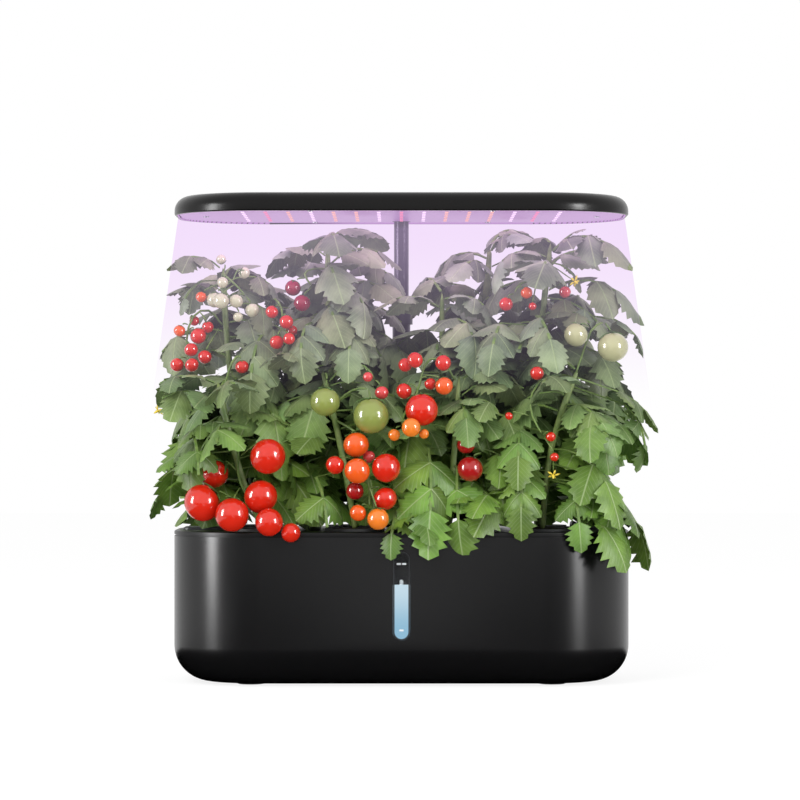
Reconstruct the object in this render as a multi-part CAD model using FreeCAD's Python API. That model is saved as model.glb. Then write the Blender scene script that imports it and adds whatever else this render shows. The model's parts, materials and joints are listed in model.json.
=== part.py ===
import FreeCAD, Part
import math
import os
import random

# A countertop hydroponic garden: a water tank with a planted deck on it, and a
# lamp hood on a telescopic pole. Millimetres, +Z up, the front faces -Y.
# The origin is on the table, below the middle of the tank.

Vector = FreeCAD.Vector
UP = (0.0, 0.0, 1.0)

# Tank
body_width = 380.0
body_depth = 200.0
corner_radius = 75.0
foot_lift = 1.5
tank_rim_z = 122.6
tank_wall = 2.6
tank_floor = 3.5
base_fillet = 30.0

# Rubber feet
foot_radius = 10.8
foot_pocket = 1.5
foot_x = 125.0
foot_y = 50.0
fit_gap = 0.1

# Sight window and level gauge in the front wall
window_width = 13.9
window_height = 72.7
window_z = 74.9
bezel_width = 1.2
bezel_proud = 0.4
lens_recess = 0.1
lens_flange_width = 18.0
lens_flange_height = 77.0
lens_flange = 1.2
gauge_wall = 1.6
gauge_depth = 9.4
gauge_side_gap = 0.4
gauge_margin = 1.2
water_level_z = 84.0
water_layer = 3.0
float_gap = 0.3
float_height = 22.0
float_drop = 4.0
float_stem_radius = 1.6
float_stem = 8.0
upper_mark_z = 101.2
lower_mark_z = 47.0
mark_length = 3.4
mark_height = 1.5
mark_gap = 1.0
mark_thickness = 0.2

# Circulation pump on the tank's floor
pump_x = 74.0
pump_side = 30.0
pump_body_length = 44.0
cup_radius = 4.5
cup_height = 3.0
chamber_radius = 11.0
chamber_length = 8.0
magnet_bore = 5.5
magnet_length = 24.0
magnet_radius = 5.0
rotor_length = 22.0
blade_radius = 9.6
blade_length = 6.0
blade_thickness = 1.4
blade_count = 6
shaft_radius = 1.0
shaft_running_gap = 0.06
shaft_seat = 1.5
cover_length = 12.0
cover_face = 3.0
cover_wall = 1.5
inlet_slot_count = 5
outlet_bore = 3.0
outlet_radius = 4.5
outlet_height = 8.0
riser_bore = 4.6
riser_radius = 6.0
riser_top_z = 104.0

# Grow deck
deck_gap = 1.2
deck_edge = 3.2
deck_rounding = 1.2
skirt_wall = 2.0
skirt_gap = 0.5
skirt_depth = 5.6
rib_thickness = 1.8
rib_depth = 6.0

# Net baskets and their sponges
basket_columns = 4
basket_rows = 3
column_pitch = 78.0
row_pitch = 56.0
basket_flange_radius = 25.0
basket_flange = 2.0
basket_top_radius = 21.6
basket_foot_radius = 16.5
basket_depth = 46.0
basket_wall = 1.4
basket_hole_gap = 0.4
slot_count = 8
slot_width = 3.0
slot_margin = 8.0
drain_radius = 6.0
sponge_gap = 0.15
sponge_recess = 0.6

# Filling port at the right end and its flap
port_x = 164.0
port_length = 24.0
port_width = 30.0
port_rim = 2.5
port_rim_height = 3.0
flap_overhang = 1.6
flap_thickness = 2.0
hinge_x = 145.5
hinge_pin_radius = 1.0
hinge_running_gap = 0.06
ear_radius = 2.6
ear_width = 3.0
ear_y = 17.0
barrel_radius = 2.4
barrel_gap = 0.3

# Control panel at the left end
panel_x = -164.0
panel_length = 38.0
panel_width = 48.0
panel_thickness = 2.0
pocket_length = 32.0
pocket_width = 42.0
pocket_depth = 13.0
pocket_wall = 1.8
pocket_radius = 4.0
button_y = 10.0
button_radius = 5.7
button_gap = 0.3
button_proud = 1.0
button_travel = 0.8
button_flange_radius = 7.2
button_flange = 1.5
button_flange_gap = 0.2
board_thickness = 1.6
board_post = 2.0
switch_side = 6.0
switch_height = 3.5
plunger_radius = 1.75
plunger_clear = 0.1
pilot_radius = 1.5

# Power inlet on the deck, behind the back row
inlet_x = -78.0
inlet_y = 84.0
inlet_width = 16.0
inlet_depth = 14.0
inlet_height = 12.0
jack_radius = 4.0
jack_bore = 2.75
jack_length = 11.0
jack_flange_radius = 5.2
jack_flange = 1.0
jack_pin_radius = 1.0

# Telescopic pole
pole_y = 80.0
outer_tube_radius = 9.0
outer_tube_wall = 1.0
middle_tube_radius = 7.75
middle_tube_wall = 1.15
inner_tube_radius = 6.35
inner_tube_wall = 1.6
outer_tube_top_z = 236.0
middle_tube_bottom_z = 150.0
middle_tube_top_z = 312.0
inner_tube_bottom_z = 226.0
groove_width = 3.0
groove_depth = 0.8
socket_radius = 13.0
socket_height = 18.0
socket_flange_radius = 17.0
socket_flange = 3.0
socket_floor = 2.0
socket_screw_x = 14.6
collar_wall = 2.0
collar_height = 14.0
collar_lip = 4.0
slide_gap = 0.25

# Lamp hood
hood_bottom_z = 390.0
hood_height = 15.7
hood_rounding = 12.0
hood_lower_rounding = 1.2
hood_wall = 2.2
lamp_board_inset = 3.6
lamp_board_recess = 1.2
lamp_board_thickness = 1.6
lamp_columns = "WRYWYYWRWYYYWRW"
lamp_column_pitch = 18.8
lamp_rows = 6
lamp_row_pitch = 24.0
lamp_length = 3.5
lamp_width = 2.8
lamp_height = 0.8
boss_radius = 4.0
boss_end_x = 165.0
boss_x = 75.0
boss_y = 82.0
head_radius = 8.0
head_hole_gap = 0.4
head_seat = 10.0

# Small screws
screw_radius = 1.2
screw_hole_gap = 0.05
screw_head_radius = 2.4
screw_head = 1.0
screw_length = 6.0
drive_radius = 0.9

# Plants
seed = 7
stem_radius = 2.8
stem_spans = 5
stem_upright = 6.0
stem_bow = 9.0
sheet_thickness = 1.2
midrib_width = 2.2
leaf_gap = 0.3
leaflet_foot = 3.0
petiole_least = 8.0
leaf_pitch = 8.2
leaf_reach_low = 112.0
leaf_reach_high = 70.0
leaf_least_apart = 12.0
stalk_radius = 1.1
pedicel_radius = 0.7
calyx_thickness = 0.8
calyx_share = 0.62
sepals = 5
petal_reach = 6.0
reach_left = 206.0
reach_right = 212.0
reach_side = 124.0
canopy_low_z = 100.0
canopy_gap = 5.0
rim_clearance = 3.0
deck_clearance = 4.0
pole_clearance = 5.0
fruit_clearance = 2.0
stem_clearance = 2.5
root_clearance = 2.0

# Heights and places that follow from the sizes above
tank_floor_z = foot_lift + tank_floor
deck_bottom_z = tank_rim_z + deck_gap
deck_z = deck_bottom_z + deck_edge
front_y = -body_depth / 2
inner_front_y = front_y + tank_wall
basket_top_z = deck_z + basket_flange
sponge_top_z = basket_top_z - sponge_recess
hood_top_z = hood_bottom_z + hood_height
lamp_board_z = hood_bottom_z + lamp_board_recess
boss_z = lamp_board_z + lamp_board_thickness
hood_roof_z = hood_top_z - hood_wall


# Shapes that several pieces share

def rounded_block(width, depth, radius, z0, z1):
    """A block with rounded plan corners, centred on the Z axis."""
    block = Part.makeBox(width, depth, z1 - z0, Vector(-width / 2, -depth / 2, z0))
    uprights = [e for e in block.Edges if abs(e.Vertexes[0].Z - e.Vertexes[1].Z) > 1e-6]
    return block.makeFillet(radius, uprights)


def body_block(inset, z0, z1):
    """The plan of the tank and the hood, drawn in by inset."""
    return rounded_block(body_width - 2 * inset, body_depth - 2 * inset, corner_radius - inset, z0, z1)


def edges_at(shape, z):
    """The edges of a shape that lie at one height."""
    return [e for e in shape.Edges if all(abs(v.Z - z) < 1e-6 for v in e.Vertexes)]


def capsule(width, height, y0, y1, z):
    """An upright slot shape with round ends, from y0 to y1, centred at height z."""
    r = width / 2
    straight = height / 2 - r
    body = Part.makeBox(width, y1 - y0, 2 * straight, Vector(-r, y0, z - straight))
    for end in (z - straight, z + straight):
        body = body.fuse(Part.makeCylinder(r, y1 - y0, Vector(0, y0, end), Vector(0, 1, 0)))
    return body.removeSplitter()


def box(x0, x1, y0, y1, z0, z1):
    return Part.makeBox(x1 - x0, y1 - y0, z1 - z0, Vector(x0, y0, z0))


def rod(radius, x, y, z0, z1):
    return Part.makeCylinder(radius, z1 - z0, Vector(x, y, z0))


def rod_along_x(radius, x0, x1, y, z):
    return Part.makeCylinder(radius, x1 - x0, Vector(x0, y, z), Vector(1, 0, 0))


def rod_along_y(radius, x, y0, y1, z):
    return Part.makeCylinder(radius, y1 - y0, Vector(x, y0, z), Vector(0, 1, 0))


def placed_block(x, y, length, width, radius, z0, z1):
    block = rounded_block(length, width, radius, z0, z1)
    block.translate(Vector(x, y, 0))
    return block


def screw(x, y, face_z, up):
    """A small screw whose head lies on face_z, with its shank up or down from there."""
    if up:
        head = rod(screw_head_radius, x, y, face_z - screw_head, face_z)
        shank = rod(screw_radius, x, y, face_z, face_z + screw_length)
        drive = rod(drive_radius, x, y, face_z - screw_head, face_z - screw_head / 2)
    else:
        head = rod(screw_head_radius, x, y, face_z, face_z + screw_head)
        shank = rod(screw_radius, x, y, face_z - screw_length, face_z)
        drive = rod(drive_radius, x, y, face_z + screw_head / 2, face_z + screw_head)
    return head.fuse(shank).cut(drive)


def save(name, *shapes):
    shape = shapes[0] if len(shapes) == 1 else Part.makeCompound(list(shapes))
    shape.exportStep("parts/" + name + ".step")
    print(name, len(shape.Solids), round(shape.Volume), shape.isValid())


# Tank

def foot_places():
    return [(sx * foot_x, sy * foot_y) for sx in (-1, 1) for sy in (-1, 1)]


def tank_shell():
    outer = body_block(0, foot_lift, tank_rim_z)
    outer = outer.makeFillet(base_fillet, edges_at(outer, foot_lift))
    inner = body_block(tank_wall, tank_floor_z, tank_rim_z + 1)
    inner = inner.makeFillet(base_fillet - tank_wall, edges_at(inner, tank_floor_z))
    shell = outer.cut(inner)
    shell = shell.cut(capsule(window_width, window_height, front_y - 1, inner_front_y + 1, window_z))
    for x, y in foot_places():
        shell = shell.cut(rod(foot_radius + fit_gap, x, y, foot_lift, foot_lift + foot_pocket))
    return shell


def rubber_feet():
    feet = []
    for x, y in foot_places():
        foot = rod(foot_radius, x, y, 0, foot_lift + foot_pocket)
        feet.append(foot.makeChamfer(foot_lift / 3, edges_at(foot, 0)))
    return feet


# Level gauge

lens_width = window_width - 2 * fit_gap - 2 * bezel_width - 2 * fit_gap
lens_height = window_height - window_width + lens_width
gauge_inside = lens_flange_width / 2 + gauge_side_gap
gauge_front_y = inner_front_y + lens_flange
gauge_back_y = gauge_front_y + gauge_depth
gauge_low_z = window_z - lens_flange_height / 2 - gauge_margin
gauge_high_z = window_z + lens_flange_height / 2 + gauge_margin
lens_front_y = front_y + lens_recess
water_back_y = gauge_front_y + water_layer


def window_bezel():
    back = inner_front_y
    front = front_y - bezel_proud
    ring = capsule(window_width - 2 * fit_gap, window_height - 2 * fit_gap, front, back, window_z)
    hole = capsule(lens_width + 2 * fit_gap, lens_height + 2 * fit_gap, front - 1, back + 1, window_z)
    return ring.cut(hole)


def window_lens():
    plug = capsule(lens_width, lens_height, lens_front_y, inner_front_y, window_z)
    flange = capsule(lens_flange_width, lens_flange_height, inner_front_y, gauge_front_y, window_z)
    return plug.fuse(flange)


def level_marks():
    """Two short dashes at the full mark and one at the low mark, printed on the lens."""
    dashes = []
    for x, z in ((-1, upper_mark_z), (1, upper_mark_z), (0, lower_mark_z)):
        middle = x * (mark_length + mark_gap) / 2
        dashes.append(box(middle - mark_length / 2, middle + mark_length / 2,
                          lens_front_y - mark_thickness, lens_front_y,
                          z - mark_height / 2, z + mark_height / 2))
    return dashes


def gauge_channel():
    """An open-fronted channel on the tank's inner wall, which lets water in low down."""
    outer = box(-gauge_inside - gauge_wall, gauge_inside + gauge_wall,
                inner_front_y, gauge_back_y + gauge_wall,
                gauge_low_z - gauge_wall, gauge_high_z + gauge_wall)
    inside = box(-gauge_inside, gauge_inside, inner_front_y - 1, gauge_back_y, gauge_low_z, gauge_high_z)
    water_hole = rod_along_y(1.5 * gauge_wall, 0, gauge_back_y - 1, gauge_back_y + gauge_wall + 1,
                             gauge_low_z + 2 * gauge_wall)
    return outer.cut(inside).cut(water_hole)


def gauge_water():
    return box(-gauge_inside + fit_gap, gauge_inside - fit_gap, gauge_front_y, water_back_y,
               gauge_low_z, water_level_z)


def level_float():
    """A block that floats behind the window's water, with a stem whose tip shows above it."""
    top = water_level_z - float_drop
    half = gauge_inside - float_gap
    front = water_back_y + float_gap
    back = gauge_back_y - float_gap
    body = box(-half, half, front, back, top - float_height, top)
    stem_y = (front + back) / 2
    stem_top = top + float_stem - float_stem_radius
    stem = rod(float_stem_radius, 0, stem_y, top, stem_top)
    tip = Part.makeSphere(float_stem_radius, Vector(0, stem_y, stem_top))
    return body.fuse(stem).fuse(tip)


# Circulation pump, whose axis runs along X

pump_z0 = tank_floor_z + cup_height
pump_axis_z = pump_z0 + pump_side / 2
pump_top_z = pump_z0 + pump_side
chamber_end_x = pump_x + chamber_length
magnet_end_x = chamber_end_x + magnet_length
outlet_x = pump_x + chamber_length / 2
cover_x = pump_x - cover_face
cover_front_x = pump_x - cover_length


def suction_cups():
    cups = []
    for x in (pump_x + cup_radius, pump_x + pump_body_length - cup_radius):
        for y in (-1, 1):
            place = Vector(x, y * (pump_side / 2 - cup_radius), tank_floor_z)
            cups.append(Part.makeCone(cup_radius, cup_radius * 0.6, cup_height, place))
    return cups


def pump_body():
    half = pump_side / 2
    body = box(pump_x, pump_x + pump_body_length, -half, half, pump_z0, pump_top_z)
    body = body.fuse(rod(outlet_radius, outlet_x, 0, pump_top_z, pump_top_z + outlet_height))
    body = body.cut(rod_along_x(chamber_radius, pump_x, chamber_end_x, 0, pump_axis_z))
    body = body.cut(rod_along_x(magnet_bore, chamber_end_x, magnet_end_x, 0, pump_axis_z))
    body = body.cut(rod_along_x(shaft_radius, magnet_end_x, magnet_end_x + shaft_seat, 0, pump_axis_z))
    return body.cut(rod(outlet_bore, outlet_x, 0, pump_axis_z, pump_top_z + outlet_height))


def pump_cover():
    """The pump's front: a slotted face with a rim that holds the filter sponge."""
    half = pump_side / 2
    cover = box(cover_front_x, pump_x, -half, half, pump_z0, pump_top_z)
    inside = half - cover_wall
    cover = cover.cut(box(cover_front_x - 1, cover_x, -inside, inside,
                          pump_axis_z - inside, pump_axis_z + inside))
    pitch = 2 * chamber_radius / (inlet_slot_count + 1)
    for i in range(inlet_slot_count):
        y = (i - (inlet_slot_count - 1) / 2) * pitch
        reach = chamber_radius * 0.75
        for z0, z1 in ((pump_axis_z - reach, pump_axis_z - 2 * shaft_radius),
                       (pump_axis_z + 2 * shaft_radius, pump_axis_z + reach)):
            cover = cover.cut(box(cover_x - 1, pump_x + 1, y - pitch / 4, y + pitch / 4, z0, z1))
    return cover.cut(rod_along_x(shaft_radius, pump_x - shaft_seat, pump_x, 0, pump_axis_z))


def filter_sponge():
    half = pump_side / 2 - cover_wall - sponge_gap
    return box(cover_front_x, cover_x, -half, half, pump_axis_z - half, pump_axis_z + half)


def impeller_shaft():
    return rod_along_x(shaft_radius, pump_x - shaft_seat, magnet_end_x + shaft_seat, 0, pump_axis_z)


def impeller():
    """The magnet rotor and its blades, which turn on the shaft."""
    start = pump_x + (chamber_length - blade_length) / 2
    rotor = rod_along_x(magnet_radius, start, chamber_end_x + rotor_length, 0, pump_axis_z)
    for i in range(blade_count):
        blade = box(start, start + blade_length, 0, blade_radius,
                    pump_axis_z - blade_thickness / 2, pump_axis_z + blade_thickness / 2)
        blade.rotate(Vector(0, 0, pump_axis_z), Vector(1, 0, 0), 360.0 / blade_count * i)
        rotor = rotor.fuse(blade)
    bore = rod_along_x(shaft_radius + shaft_running_gap, pump_x, magnet_end_x, 0, pump_axis_z)
    return rotor.cut(bore).removeSplitter()


def riser_pipe():
    pipe = rod(riser_radius, outlet_x, 0, pump_top_z, riser_top_z)
    return pipe.cut(rod(riser_bore, outlet_x, 0, pump_top_z - 1, riser_top_z + 1))


# Grow deck

def basket_places():
    places = []
    for row in range(basket_rows):
        for column in range(basket_columns):
            x = (column - (basket_columns - 1) / 2) * column_pitch
            y = (row - (basket_rows - 1) / 2) * row_pitch
            places.append((x, y))
    return places


def port_hole(grow, z0, z1):
    return placed_block(port_x, 0, port_length + 2 * grow, port_width + 2 * grow, 2.0 + grow, z0, z1)


def pocket_block(grow, z0, z1):
    return placed_block(panel_x, 0, pocket_length + 2 * grow, pocket_width + 2 * grow,
                        pocket_radius + grow, z0, z1)


pocket_floor_z = deck_z - pocket_depth
board_z = pocket_floor_z + board_post
hinge_z = deck_z + port_rim_height + flap_thickness / 2


def hinge_ear(y0):
    """One of the two lugs that hold the flap's pin."""
    foot = box(hinge_x - ear_radius, hinge_x + ear_radius, y0, y0 + ear_width, deck_z, hinge_z)
    head = rod_along_y(ear_radius, hinge_x, y0, y0 + ear_width, hinge_z)
    return foot.fuse(head).removeSplitter()


def grow_deck():
    plate = body_block(0, deck_bottom_z, deck_z)
    plate = plate.makeFillet(deck_rounding, edges_at(plate, deck_z))
    skirt_out = tank_wall + skirt_gap
    skirt_in = skirt_out + skirt_wall
    step = body_block(deck_gap, tank_rim_z, deck_bottom_z)
    step = step.cut(body_block(skirt_in, tank_rim_z, deck_bottom_z))
    skirt = body_block(skirt_out, tank_rim_z - skirt_depth, tank_rim_z)
    skirt = skirt.cut(body_block(skirt_in, tank_rim_z - skirt_depth, tank_rim_z))
    deck = plate.fuse(step).fuse(skirt)
    rib_reach = body_depth / 2 - skirt_in
    for x in (-column_pitch, column_pitch):
        deck = deck.fuse(box(x - rib_thickness / 2, x + rib_thickness / 2, -rib_reach, rib_reach,
                             deck_bottom_z - rib_depth, deck_bottom_z))
    deck = deck.fuse(pocket_block(pocket_wall, pocket_floor_z - pocket_wall, deck_bottom_z))
    deck = deck.fuse(port_hole(port_rim, deck_z, deck_z + port_rim_height))
    for y0 in (ear_y - ear_width, -ear_y):
        deck = deck.fuse(hinge_ear(y0))
    deck = deck.cut(port_hole(0, deck_bottom_z - 1, deck_z + port_rim_height + 1))
    deck = deck.cut(pocket_block(0, pocket_floor_z, deck_z + 1))
    for x in (-1, 1):
        for y in (-1, 1):
            post_x = panel_x + x * (pocket_length / 2 - 2 * board_post)
            post_y = y * (pocket_width / 2 - 2 * board_post)
            deck = deck.fuse(rod(board_post, post_x, post_y, pocket_floor_z, board_z))
    for x, y in basket_places():
        deck = deck.cut(rod(basket_top_radius + basket_hole_gap, x, y, deck_bottom_z - 1, deck_z + 1))
    deck = deck.cut(rod_along_y(hinge_pin_radius, hinge_x, -ear_y, ear_y, hinge_z))
    for x in (-1, 1):
        deck = deck.cut(rod(screw_radius + screw_hole_gap, x * socket_screw_x, pole_y,
                            deck_bottom_z, deck_z))
    return deck.removeSplitter()


def net_basket(x, y):
    """A slotted cup that hangs from its flange in the deck."""
    foot_z = deck_z - basket_depth
    cup = Part.makeCone(basket_foot_radius, basket_top_radius, basket_depth, Vector(x, y, foot_z))
    cup = cup.fuse(rod(basket_flange_radius, x, y, deck_z, basket_top_z))
    inside = Part.makeCone(basket_foot_radius - basket_wall, basket_top_radius - basket_wall,
                           basket_depth, Vector(x, y, foot_z + basket_wall))
    cup = cup.cut(inside)
    cup = cup.cut(rod(basket_top_radius - basket_wall, x, y, deck_z + basket_wall, basket_top_z))
    for i in range(slot_count // 2):
        slot = box(-basket_flange_radius, basket_flange_radius, -slot_width / 2, slot_width / 2,
                   foot_z + slot_margin, deck_z - slot_margin)
        slot.rotate(Vector(0, 0, 0), Vector(0, 0, 1), 360.0 / slot_count * i)
        slot.translate(Vector(x, y, 0))
        cup = cup.cut(slot)
    return cup.cut(rod(drain_radius, x, y, foot_z, foot_z + basket_wall))


def sponge(x, y):
    foot_z = deck_z - basket_depth + basket_wall
    height = sponge_top_z - foot_z
    slope = (basket_top_radius - basket_foot_radius) / basket_depth
    low = basket_foot_radius - basket_wall - sponge_gap
    plug = Part.makeCone(low, low + slope * basket_depth, basket_depth, Vector(x, y, foot_z))
    cap_z = foot_z + basket_depth
    if height > basket_depth:
        return plug.fuse(rod(low + slope * basket_depth, x, y, cap_z, sponge_top_z))
    return plug.common(rod(basket_top_radius, x, y, foot_z, sponge_top_z))


# Filling flap

def fill_flap():
    """The lid of the filling port: a plate, a neck and the barrel that turns on the pin."""
    z0 = deck_z + port_rim_height
    z1 = z0 + flap_thickness
    x0 = hinge_x + ear_radius + 2 * barrel_gap
    x1 = port_x + port_length / 2 + port_rim + flap_overhang
    half = port_width / 2 + port_rim + flap_overhang
    plate = box(x0, x1, -half, half, z0, z1)
    corners = [e for e in plate.Edges if e.Length == flap_thickness and e.Vertexes[0].X > port_x]
    plate = plate.makeFillet(4.0, corners)
    reach = ear_y - ear_width - barrel_gap
    neck = box(hinge_x, x0, -reach, reach, z0, z1)
    barrel = rod_along_y(barrel_radius, hinge_x, -reach, reach, hinge_z)
    flap = plate.fuse(neck).fuse(barrel)
    bore = rod_along_y(hinge_pin_radius + hinge_running_gap, hinge_x, -ear_y, ear_y, hinge_z)
    return flap.cut(bore).removeSplitter()


def flap_pin():
    return rod_along_y(hinge_pin_radius, hinge_x, -ear_y, ear_y, hinge_z)


# Control panel

button_places = ((panel_x, -button_y), (panel_x, button_y))
pilot_places = ((panel_x + 13.0, -button_y), (panel_x + 13.0, button_y))


def control_panel():
    """A flat cover over the pocket, with a hole for each button and each pilot lamp."""
    top = deck_z + panel_thickness
    plate = placed_block(panel_x, 0, panel_length, panel_width, pocket_radius + 2.0, deck_z, top)
    plate = plate.makeFillet(0.6, edges_at(plate, top))
    for x, y in button_places:
        plate = plate.cut(rod(button_radius + button_gap, x, y, deck_z - 1, top + 1))
    for x, y in pilot_places:
        plate = plate.cut(rod(pilot_radius + fit_gap, x, y, deck_z - 1, top + 1))
    return plate


def pilot_lamps():
    lamps = []
    for x, y in pilot_places:
        lens = rod(pilot_radius, x, y, deck_z - 1.0, deck_z + panel_thickness)
        lens = lens.fuse(rod(pilot_radius + 1.0, x, y, deck_z - 2.0, deck_z))
        lamps.append(lens.cut(rod(pilot_radius - 0.6, x, y, deck_z - 2.0, deck_z - 0.5)))
    return lamps


button_flange_z = deck_z - button_flange_gap - button_flange


def push_button(x, y):
    top = deck_z + panel_thickness + button_proud
    flange_top = button_flange_z + button_flange
    cap = rod(button_radius, x, y, flange_top, top)
    cap = cap.makeFillet(0.6, edges_at(cap, top))
    return cap.fuse(rod(button_flange_radius, x, y, button_flange_z, flange_top))


def control_board():
    half_x = pocket_length / 2 - 1.0
    half_y = pocket_width / 2 - 1.0
    return placed_block(panel_x, 0, 2 * half_x, 2 * half_y, pocket_radius - 1.0,
                        board_z, board_z + board_thickness)


def tact_switches():
    switches = []
    top = board_z + board_thickness
    for x, y in button_places:
        half = switch_side / 2
        switch = box(x - half, x + half, y - half, y + half, top, top + switch_height)
        plunger_top = button_flange_z - button_travel - plunger_clear
        switches.append(switch.fuse(rod(plunger_radius, x, y, top + switch_height, plunger_top)))
    return switches


# Power inlet

inlet_z = deck_z + inlet_height / 2
inlet_back_y = inlet_y + inlet_depth / 2


def inlet_housing():
    half = inlet_width / 2
    block = box(inlet_x - half, inlet_x + half, inlet_y - inlet_depth / 2, inlet_back_y,
                deck_z, deck_z + inlet_height)
    uprights = [e for e in block.Edges if abs(e.Vertexes[0].Z - e.Vertexes[1].Z) > 1e-6]
    block = block.makeFillet(2.5, uprights)
    block = block.makeFillet(1.0, edges_at(block, deck_z + inlet_height))
    return block.cut(rod_along_y(jack_radius + fit_gap, inlet_x, inlet_back_y - jack_length,
                                 inlet_back_y, inlet_z))


def power_jack():
    front = inlet_back_y - jack_length
    body = rod_along_y(jack_radius, inlet_x, front, inlet_back_y, inlet_z)
    body = body.fuse(rod_along_y(jack_flange_radius, inlet_x, inlet_back_y,
                                 inlet_back_y + jack_flange, inlet_z))
    hollow = rod_along_y(jack_bore, inlet_x, front + 2.0, inlet_back_y + jack_flange, inlet_z)
    pin = rod_along_y(jack_pin_radius, inlet_x, front + 1.0, inlet_back_y - 1.0, inlet_z)
    return body.cut(hollow).fuse(pin)


# Telescopic pole

socket_floor_z = deck_z + socket_floor


def tube(radius, wall, z0, z1):
    return rod(radius, 0, pole_y, z0, z1).cut(rod(radius - wall, 0, pole_y, z0 - 1, z1 + 1))


def pole_socket():
    socket = rod(socket_radius, 0, pole_y, deck_z, deck_z + socket_height)
    socket = socket.makeFillet(1.5, edges_at(socket, deck_z + socket_height))
    socket = socket.fuse(rod(socket_flange_radius, 0, pole_y, deck_z, deck_z + socket_flange))
    socket = socket.cut(rod(outer_tube_radius + fit_gap / 2, 0, pole_y, socket_floor_z,
                            deck_z + socket_height + 1))
    for x in (-1, 1):
        place = x * socket_screw_x
        socket = socket.cut(rod(screw_radius + screw_hole_gap, place, pole_y, deck_z,
                                deck_z + socket_flange))
        socket = socket.cut(rod(screw_head_radius + fit_gap, place, pole_y, deck_z + socket_flange,
                                deck_z + socket_height))
    return socket


def socket_screws():
    return [screw(x * socket_screw_x, pole_y, deck_z + socket_flange, False) for x in (-1, 1)]


def pole_outer_tube():
    return tube(outer_tube_radius, outer_tube_wall, socket_floor_z, outer_tube_top_z)


def pole_middle_tube():
    return tube(middle_tube_radius, middle_tube_wall, middle_tube_bottom_z, middle_tube_top_z)


def pole_inner_tube():
    """The uppermost tube, with a groove down its front and its back."""
    top = boss_z + head_seat
    inner = tube(inner_tube_radius, inner_tube_wall, inner_tube_bottom_z, top)
    for side in (-1, 1):
        y = pole_y + side * inner_tube_radius
        inner = inner.cut(box(-groove_width / 2, groove_width / 2, y - groove_depth, y + groove_depth,
                              inner_tube_bottom_z - 1, lamp_board_z))
    return inner


def collar(tube_radius, next_radius, tube_top):
    """A friction collar: it grips the tube below and guides the thinner one through its lip."""
    low = tube_top + collar_lip - collar_height
    ring = rod(tube_radius + collar_wall, 0, pole_y, low, tube_top + collar_lip)
    ring = ring.makeFillet(0.8, edges_at(ring, tube_top + collar_lip))
    ring = ring.cut(rod(tube_radius + fit_gap / 2, 0, pole_y, low - 1, tube_top))
    return ring.cut(rod(next_radius + slide_gap, 0, pole_y, tube_top, tube_top + collar_lip + 1))


# Lamp hood

def boss_places():
    places = [(-boss_end_x, 0.0), (boss_end_x, 0.0)]
    return places + [(x * boss_x, y * boss_y) for x in (-1, 1) for y in (-1, 1)]


def hood_cover():
    outer = body_block(0, hood_bottom_z, hood_top_z)
    outer = outer.makeFillet(hood_rounding, edges_at(outer, hood_top_z))
    outer = outer.makeFillet(hood_lower_rounding, edges_at(outer, hood_bottom_z))
    inner = body_block(hood_wall, hood_bottom_z - 1, hood_roof_z)
    inner = inner.makeFillet(hood_rounding - hood_wall, edges_at(inner, hood_roof_z))
    cover = outer.cut(inner)
    for x, y in boss_places():
        cover = cover.fuse(rod(boss_radius, x, y, boss_z, hood_roof_z))
        cover = cover.cut(rod(screw_radius + screw_hole_gap, x, y, boss_z, boss_z + screw_length))
    return cover


def pole_head():
    """The block inside the hood that the pole's top tube is seated in."""
    head = rod(head_radius, 0, pole_y, lamp_board_z, hood_roof_z)
    return head.cut(rod(inner_tube_radius + fit_gap / 2, 0, pole_y, lamp_board_z, boss_z + head_seat))


def lamp_board():
    board = body_block(lamp_board_inset, lamp_board_z, boss_z)
    board = board.cut(rod(head_radius + head_hole_gap, 0, pole_y, lamp_board_z - 1, boss_z + 1))
    for x, y in boss_places():
        board = board.cut(rod(screw_radius + 4 * screw_hole_gap, x, y, lamp_board_z - 1, boss_z + 1))
    return board


def lamps(kind):
    """The lamps of one colour: small blocks on the board's underside, in full columns."""
    chips = []
    middle = (len(lamp_columns) - 1) / 2
    for column, name in enumerate(lamp_columns):
        if name != kind:
            continue
        x = (column - middle) * lamp_column_pitch
        for row in range(lamp_rows):
            y = (row - (lamp_rows - 1) / 2) * lamp_row_pitch
            chips.append(box(x - lamp_width / 2, x + lamp_width / 2, y - lamp_length / 2,
                             y + lamp_length / 2, lamp_board_z - lamp_height, lamp_board_z))
    return chips


def hood_screws():
    return [screw(x, y, lamp_board_z, True) for x, y in boss_places()]


# Plant growth: small vector helpers, in plain tuples

def plus(a, b):
    return (a[0] + b[0], a[1] + b[1], a[2] + b[2])


def minus(a, b):
    return (a[0] - b[0], a[1] - b[1], a[2] - b[2])


def times(a, k):
    return (a[0] * k, a[1] * k, a[2] * k)


def dot(a, b):
    return a[0] * b[0] + a[1] * b[1] + a[2] * b[2]


def cross(a, b):
    return (a[1] * b[2] - a[2] * b[1], a[2] * b[0] - a[0] * b[2], a[0] * b[1] - a[1] * b[0])


def length(a):
    return math.sqrt(dot(a, a))


def unit(a):
    return times(a, 1.0 / max(length(a), 1e-9))


def turned(v, axis, angle):
    """v turned about a unit axis by the right-hand rule, angle in radians."""
    part = times(v, math.cos(angle))
    part = plus(part, times(cross(axis, v), math.sin(angle)))
    return plus(part, times(axis, dot(axis, v) * (1 - math.cos(angle))))


def along(a, b, t):
    return plus(a, times(minus(b, a), t))


def distance_to_segment(p, a, b):
    line = minus(b, a)
    t = dot(minus(p, a), line) / max(dot(line, line), 1e-9)
    return length(minus(p, along(a, b, min(1.0, max(0.0, t)))))


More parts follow.
